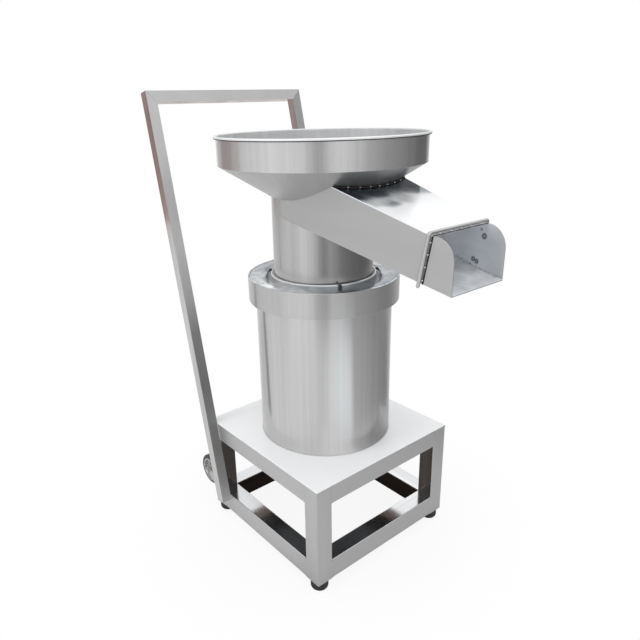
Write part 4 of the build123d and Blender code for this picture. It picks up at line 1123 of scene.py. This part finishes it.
tacks = []
for side in (-1, 1):
    for z in (0.951, 0.925, 0.898, 0.869):
        x = hoop_x - (hoop_z - z) * hoop_lean + hoop_front - 0.0012
        tacks.append((x, side * side_face(x, 0.001), z))
for y in (-0.070, -0.035, 0.0, 0.035, 0.070):
    tacks.append((hoop_x + hoop_front - 0.0012, y, roof_height(hoop_x) + 0.0004))
for y in (-0.088, -0.058, -0.028, 0.0, 0.028, 0.058, 0.088):
    x = roof_meets_cone(y, 12)
    tacks.append((x + 0.0080, y, roof_height(x) + 0.0006))
grow("chute_tacks", spot_mesh("chute_tacks", tacks, 0.0012), bead_tree, bead_sockets,
     {"Width": 0.0036, "Height": 0.0028, "Step": 0.0014}, bright_bead, "sieve_head")
print(len(tacks), "tacks")

# %% [markdown]
# Three fine lines finish the chute. Where its roof runs into the cone, a black bead between the tacks paints the
# shadow in the gap.
# Where a side plate lies against the upper cylinder, its edge is welded with a thin even bead. The floor's
# front edge is folded back on itself, which makes it stiff and safe to touch.

# %% Joints and hem of the chute
# A black bead paints the shadow in the gap between the roof and the cone.
roof_shadow_run = []
for i in range(61):
    y = -0.116 + 0.232 * i / 60
    x = roof_meets_cone(y, 30) + 0.0040
    roof_shadow_run.append((x, y, roof_height(x) + 0.0002))
lay_beads("roof_painted_shadow", [roof_shadow_run], 0.0090, 0.0078, 0.0030, "sieve_head", finish=painted_shadow_finish)

edge_runs = []
rear_x, corner = -0.003, 0.016
for side in (-1, 1):
    run = [(rear_x, z) for z in (0.990, 0.982, 0.974)]
    low = floor_height(rear_x)
    run += [(rear_x + corner * (1 - math.cos(a)), low + corner * (1 - math.sin(a)) * 0.95)
            for a in (math.radians(15 * i) for i in range(7))]
    run += [(x, floor_height(x) + 0.0004) for x in (0.02, 0.03, 0.045, 0.06, 0.075, 0.09)]
    edge_runs.append([(x, side * side_face(x, 0.0003), z) for x, z in run])
lay_beads("side_plate_welds", edge_runs, 0.0013, 0.0016, 0.0012, "sieve_head", finish=rod_finish)

print("chute joints:", len(roof_shadow_run), "points on the cone")

# %% [markdown]
# The hoop stands a little proud of the sheet, and the gap in front of it shows as an uneven dark line, with
# the tacks across it. The line is painted shadow: a thin black ribbon whose width changes from point to
# point. The same ribbon, a little higher and bright, makes the welds in the spout's two lower corners.

# %% Ribbons along the hoop and in the spout
def add_ribbon(bm, points, across, out, widths, rise=0.0005):
    """A thin ribbon on a surface, along points, with its own half width at each."""
    rings = []
    for point, half in zip(points, widths):
        corners = ((-half, -0.0003), (half, -0.0003), (half * 0.8, rise), (-half * 0.8, rise))
        rings.append([bm.verts.new(Vector(point) + across * side + out * lift) for side, lift in corners])
    close_rings(bm, rings)


random_width = random.Random(7)
bm = bmesh.new()
steps = 44
for side in (-1, 1):
    line, widths = [], []
    for i in range(steps + 1):
        z = 0.9645 + (0.8600 - 0.9645) * i / steps
        x = hoop_x - (hoop_z - z) * hoop_lean + 0.0058
        line.append((x, side * side_face(x), z))
        widths.append(0.0019 + 0.0005 * random_width.random())
    add_ribbon(bm, line, Vector((1, 0, 0)), Vector((0, side, 0)), widths)
line, widths = [], []
for i in range(steps + 1):
    x = hoop_x + hoop_front
    y = (2 * i / steps - 1) * (side_face(x) - 0.0015)
    line.append((x, y, roof_height(x)))
    widths.append(0.0014 + 0.0005 * random_width.random())
add_ribbon(bm, line, Vector((0.962, 0, -0.273)), Vector((0.273, 0, 0.962)), widths)
corner_bm = bmesh.new()
for side in (-1, 1):
    line, widths = [], []
    for i in range(steps + 1):
        x = 0.330 + 0.158 * i / steps
        line.append((x, side * (side_face(x) - 0.0052), floor_height(x) + 0.0030))
        widths.append(0.0017 + 0.0003 * random_width.random())
    add_ribbon(corner_bm, line, Vector((0, 1, 0)), Vector((0, 0, 1)), widths, rise=0.0014)
keep_piece("spout_corner_welds", finish_mesh("spout_corner_welds", corner_bm), bright_bead, "sieve_head",
           smooth=False)
# Black ribbons paint the shadow in the gap in front of the hoop.
keep_piece("hoop_painted_shadow_lines", finish_mesh("hoop_painted_shadow_lines", bm), painted_shadow_finish, "sieve_head",
           smooth=False)
print("hoop lines:", 3 * steps, "steps")

# %% Hem of the spout's floor
hem_depth, hem_thickness = 0.0105, 0.0022
hem_front = 0.4915
bm = bmesh.new()
hem_section = [(0.0, 0.0), (hem_depth, 0.0)] + arc((hem_depth, hem_thickness / 2), hem_thickness / 2, -90, 90, 6)
hem_section += [(0.0, hem_thickness)]
ends = []
for side in (-1, 1):
    ring = []
    for u, v in hem_section:
        x = hem_front - hem_depth + u
        y = side * (side_face(x) - 0.0022)
        ring.append(bm.verts.new((x, y, floor_height(x) + 0.0021 + v)))
    ends.append(ring)
close_rings(bm, ends)
keep_piece("spout_hem", finish_mesh("spout_hem", bm), floor_sheet_finish, "sieve_head",
           smooth=False)
print("hem", hem_depth, "m deep")

# %% [markdown]
# Small round parts carry the same detail again and again: ribs on the wheels' hubs, ridges that give grip on
# the cable gland. One tree sets copies of a small piece on a circle and turns each to face outwards.

# %% Ring of pieces tree
ring_tree, ring_sockets, given, result = start_tree(
    "Ring of pieces",
    [("Count", "NodeSocketInt", 6), ("Radius", "NodeSocketFloat", 0.02), ("Material", "NodeSocketMaterial", None)],
)
index = add(ring_tree, "GeometryNodeInputIndex").outputs[0]
places = add(ring_tree, "GeometryNodeMeshCircle", {"Vertices": given["Count"], "Radius": given["Radius"]})
angle = maths(ring_tree, "DIVIDE", times(ring_tree, index, 2 * math.pi), given["Count"])
facing_out = point_of(ring_tree, {2: angle})
placed = add(ring_tree, "GeometryNodeInstanceOnPoints",
             {"Points": places.outputs[0], "Instance": given["Geometry"], "Rotation": facing_out})
end_tree(ring_tree, placed, given, result)


def small_block(name, size, taper=0.6):
    """A block with a narrower top (+X side) and bevelled edges, centred."""
    bm = bmesh.new()
    bmesh.ops.create_cube(bm, size=1.0)
    for vertex in bm.verts:
        shrink = taper if vertex.co.x > 0 else 1.0
        vertex.co = Vector((vertex.co.x * size[0], vertex.co.y * size[1] * shrink, vertex.co.z * size[2]))
    bmesh.ops.bevel(bm, geom=list(bm.edges), offset=min(size) * 0.12, segments=2, affect="EDGES")
    return finish_mesh(name, bm)


def ring_of(name, piece, count, radius, place, finish, body):
    """Copies of a piece on a circle, moved to their place."""
    values = {"Count": count, "Radius": radius}
    made = grow(name, piece, ring_tree, ring_sockets, values, finish, body, smooth=False)
    made.data.transform(place)
    return made


print("tree", ring_tree.name)

# %% Ribs of the wheel hubs
rib_count, rib_middle = 6, 0.0235
for hand, side in (("left", 1), ("right", -1)):
    low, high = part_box("hub_" + hand)
    centre = (low + high) / 2
    wheel_place = Matrix.Translation(centre) @ Matrix.Rotation(math.pi / 2, 4, "X")
    ring_of("hub_ribs_" + hand, small_block("rib", (0.0220, 0.0030, 0.0170), taper=0.85), rib_count, rib_middle,
            wheel_place, hub_finish, "wheel_" + hand)
print("ribs:", 2 * rib_count)

# %% Ridges of the cable gland
gland_low, gland_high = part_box("cable_gland")
gland_centre = Vector((gland_low.x + 0.0065, 0.0, (gland_low.z + gland_high.z) / 2))
gland_place = Matrix.Translation(gland_centre) @ Matrix.Rotation(math.pi / 2, 4, "Y")
ring_of("gland_ridges", small_block("ridge", (0.0012, 0.0011, 0.0070)), 20, 0.0086, gland_place, gland_finish,
        "cart")
print("gland at", [round(v, 3) for v in gland_centre])

# %% [markdown]
# Bolts hold each fork to the cart's rear rail. A bolt head is a short hexagonal bar with its corners turned
# away, on a round washer, so it is one hexagon cut by a cone: the corners are pulled in at the top.

# %% Fork bolts
def polygon(bm, radius, z, sides):
    """The corners of a level polygon."""
    return [bm.verts.new((radius * math.cos(a), radius * math.sin(a), z))
            for a in (2 * math.pi * i / sides for i in range(sides))]


def bolt_mesh(name, across_flats, height, washer_radius, washer_height):
    """A bolt head with chamfered corners on a washer, pointing along +Z."""
    bm = bmesh.new()
    corner = across_flats / math.sqrt(3)
    top = washer_height + height
    head = ((corner, washer_height), (corner, washer_height + height * 0.8), (corner * 0.86, top))
    washer = ((washer_radius, 0), (washer_radius, washer_height * 0.8), (washer_radius * 0.96, washer_height))
    for levels, sides in ((head, 6), (washer, 24)):
        close_rings(bm, [polygon(bm, radius, z, sides) for radius, z in levels])
    return finish_mesh(name, bm)


bm = bmesh.new()
for hand in ("left", "right"):
    low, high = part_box("wheel_fork_" + hand)
    middle = (low.y + high.y) / 2
    for rise in (0.045, 0.075):
        place = Matrix.Translation((-0.2540, middle, rise)) @ Matrix.Rotation(-math.pi / 2, 4, "Y")
        bolt = bolt_mesh("bolt", 0.010, 0.0045, 0.0068, 0.0014)
        bolt.transform(place)
        bm.from_mesh(bolt)
        bpy.data.meshes.remove(bolt)
fork_bolts = keep_piece("fork_bolts", finish_mesh("fork_bolts", bm), zinc_finish, "cart",
                        smooth=False)
print("fork bolts:", len(fork_bolts.data.polygons), "faces")

# %% [markdown]
# The rocker switch has the usual two marks: a bar for on and a ring for off. Each lies on its own flat of
# the rocker and moves with it.

# %% Marks on the switch
rocker_place = Matrix.Translation((-0.1880, 0, 0.425)) @ Matrix.Rotation(math.radians(8.0), 4, "Y")
flat_slope = 0.0025 / 0.0105
bm = bmesh.new()
bar = small_block("bar", (0.0006, 0.0012, 0.0052), taper=1.0)
bar.transform(Matrix.Translation((-0.0036 - flat_slope * 0.0056, 0, 0.0056))
              @ Matrix.Rotation(math.atan(-flat_slope), 4, "Y"))
bm.from_mesh(bar)
bpy.data.meshes.remove(bar)
ring = lathe("ring", [(0.0016, -0.0003), (0.0026, -0.0003), (0.0026, 0.0003), (0.0016, 0.0003)], 28)
ring.transform(Matrix.Translation((-0.0036 - flat_slope * 0.0056, 0, -0.0056))
               @ Matrix.Rotation(math.atan(flat_slope), 4, "Y") @ Matrix.Rotation(math.pi / 2, 4, "Y"))
bm.from_mesh(ring)
bpy.data.meshes.remove(ring)
marks = finish_mesh("switch_marks", bm)
marks.transform(rocker_place)
keep_piece("switch_marks", marks, mark_finish, "switch_rocker", smooth=False)
print("switch marked")

# %% [markdown]
# The sieve cloth is woven wire. A painted pattern would be flat from close by, so the wires are real: one
# set lies along X, the other along Y, and each rises and falls so that it passes over one wire and under
# the next. The tree makes a line of points for each wire, lifts them by a wave, drops what lies outside
# the ring, and gives the rest a round section. The real cloth is finer than wires that can be drawn here.

# %% Woven cloth tree
cloth_tree, cloth_sockets, given, result = start_tree(
    "Woven cloth",
    [("Pitch", "NodeSocketFloat", 0.004), ("Wire", "NodeSocketFloat", 0.0005),
     ("Radius", "NodeSocketFloat", 0.12), ("Height", "NodeSocketFloat", 1.0),
     ("Count", "NodeSocketInt", 60), ("Material", "NodeSocketMaterial", None)],
)
points_across = times(cloth_tree, given["Count"], 2.0)
span = times(cloth_tree, given["Pitch"], maths(cloth_tree, "SUBTRACT", given["Count"], 1.0))
half_span = times(cloth_tree, span, -0.5)
half_pitch = times(cloth_tree, given["Pitch"], 0.5)


def wire_set(way):
    """Wires along X (0) or Y (1), as a socket of curves."""
    run_step = point_of(cloth_tree, {way: half_pitch})
    row_step = point_of(cloth_tree, {1 - way: given["Pitch"]})
    run_start = point_of(cloth_tree, {way: half_span})
    row_start = point_of(cloth_tree, {1 - way: half_span, 2: given["Height"]})
    wire = add(cloth_tree, "GeometryNodeMeshLine", {"Count": points_across, "Start Location": run_start,
                                                    "Offset": run_step})
    rows = add(cloth_tree, "GeometryNodeMeshLine", {"Count": given["Count"], "Start Location": row_start,
                                                    "Offset": row_step})
    placed = add(cloth_tree, "GeometryNodeInstanceOnPoints", {"Points": rows.outputs[0],
                                                              "Instance": wire.outputs[0]})
    real = add(cloth_tree, "GeometryNodeRealizeInstances", {0: placed.outputs[0]})
    place = add(cloth_tree, "GeometryNodeInputPosition").outputs[0]
    axes = axes_of(cloth_tree, place)
    steps_along = maths(cloth_tree, "DIVIDE", maths(cloth_tree, "SUBTRACT", axes[way], half_span),
                        given["Pitch"])
    steps_aside = maths(cloth_tree, "DIVIDE", maths(cloth_tree, "SUBTRACT", axes[1 - way], half_span),
                        given["Pitch"])
    phase = times(cloth_tree, maths(cloth_tree, "ADD", steps_along, steps_aside), math.pi)
    wave = times(cloth_tree, maths(cloth_tree, "COSINE", phase),
                 times(cloth_tree, given["Wire"], 0.55 if way == 0 else -0.55))
    lift = point_of(cloth_tree, {2: wave})
    waved = add(cloth_tree, "GeometryNodeSetPosition", {"Geometry": real.outputs[0], "Offset": lift})
    flat = point_of(cloth_tree, {0: axes[0], 1: axes[1]})
    reach = add(cloth_tree, "ShaderNodeVectorMath", {0: flat}, operation="LENGTH").outputs["Value"]
    outside = add(cloth_tree, "FunctionNodeCompare", {0: reach, 1: given["Radius"]}, operation="GREATER_THAN")
    trimmed = add(cloth_tree, "GeometryNodeDeleteGeometry", {"Geometry": waved.outputs[0],
                                                             "Selection": outside.outputs[0]}, domain="POINT")
    return add(cloth_tree, "GeometryNodeMeshToCurve", {"Mesh": trimmed.outputs[0]}).outputs[0]


both = cloth_tree.nodes.new("GeometryNodeJoinGeometry")
for way in (0, 1):
    cloth_tree.links.new(wire_set(way), both.inputs[0])
section = add(cloth_tree, "GeometryNodeCurvePrimitiveCircle", {"Resolution": 4,
                                                               "Radius": times(cloth_tree, given["Wire"], 0.5)})
wires = add(cloth_tree, "GeometryNodeCurveToMesh", {"Curve": both.outputs[0], "Profile Curve": section.outputs[0],
                                                    "Fill Caps": True})
end_tree(cloth_tree, wires, given, result)
print("tree", cloth_tree.name)

# %% Woven sieve cloth
mesh_low, mesh_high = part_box("sieve_mesh")
cloth_pitch = 0.004
cloth_radius = mesh_high.y - 0.0005
cloth = grow("sieve_cloth", bpy.data.meshes.new("sieve_cloth"), cloth_tree, cloth_sockets,
             {"Pitch": cloth_pitch, "Wire": 0.0007, "Radius": cloth_radius,
              "Height": (mesh_low.z + mesh_high.z) / 2, "Count": int(2 * cloth_radius / cloth_pitch) + 1},
             wire_finish, "sieve")
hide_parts("sieve_mesh")
print("sieve cloth:", len(cloth.data.polygons), "faces")
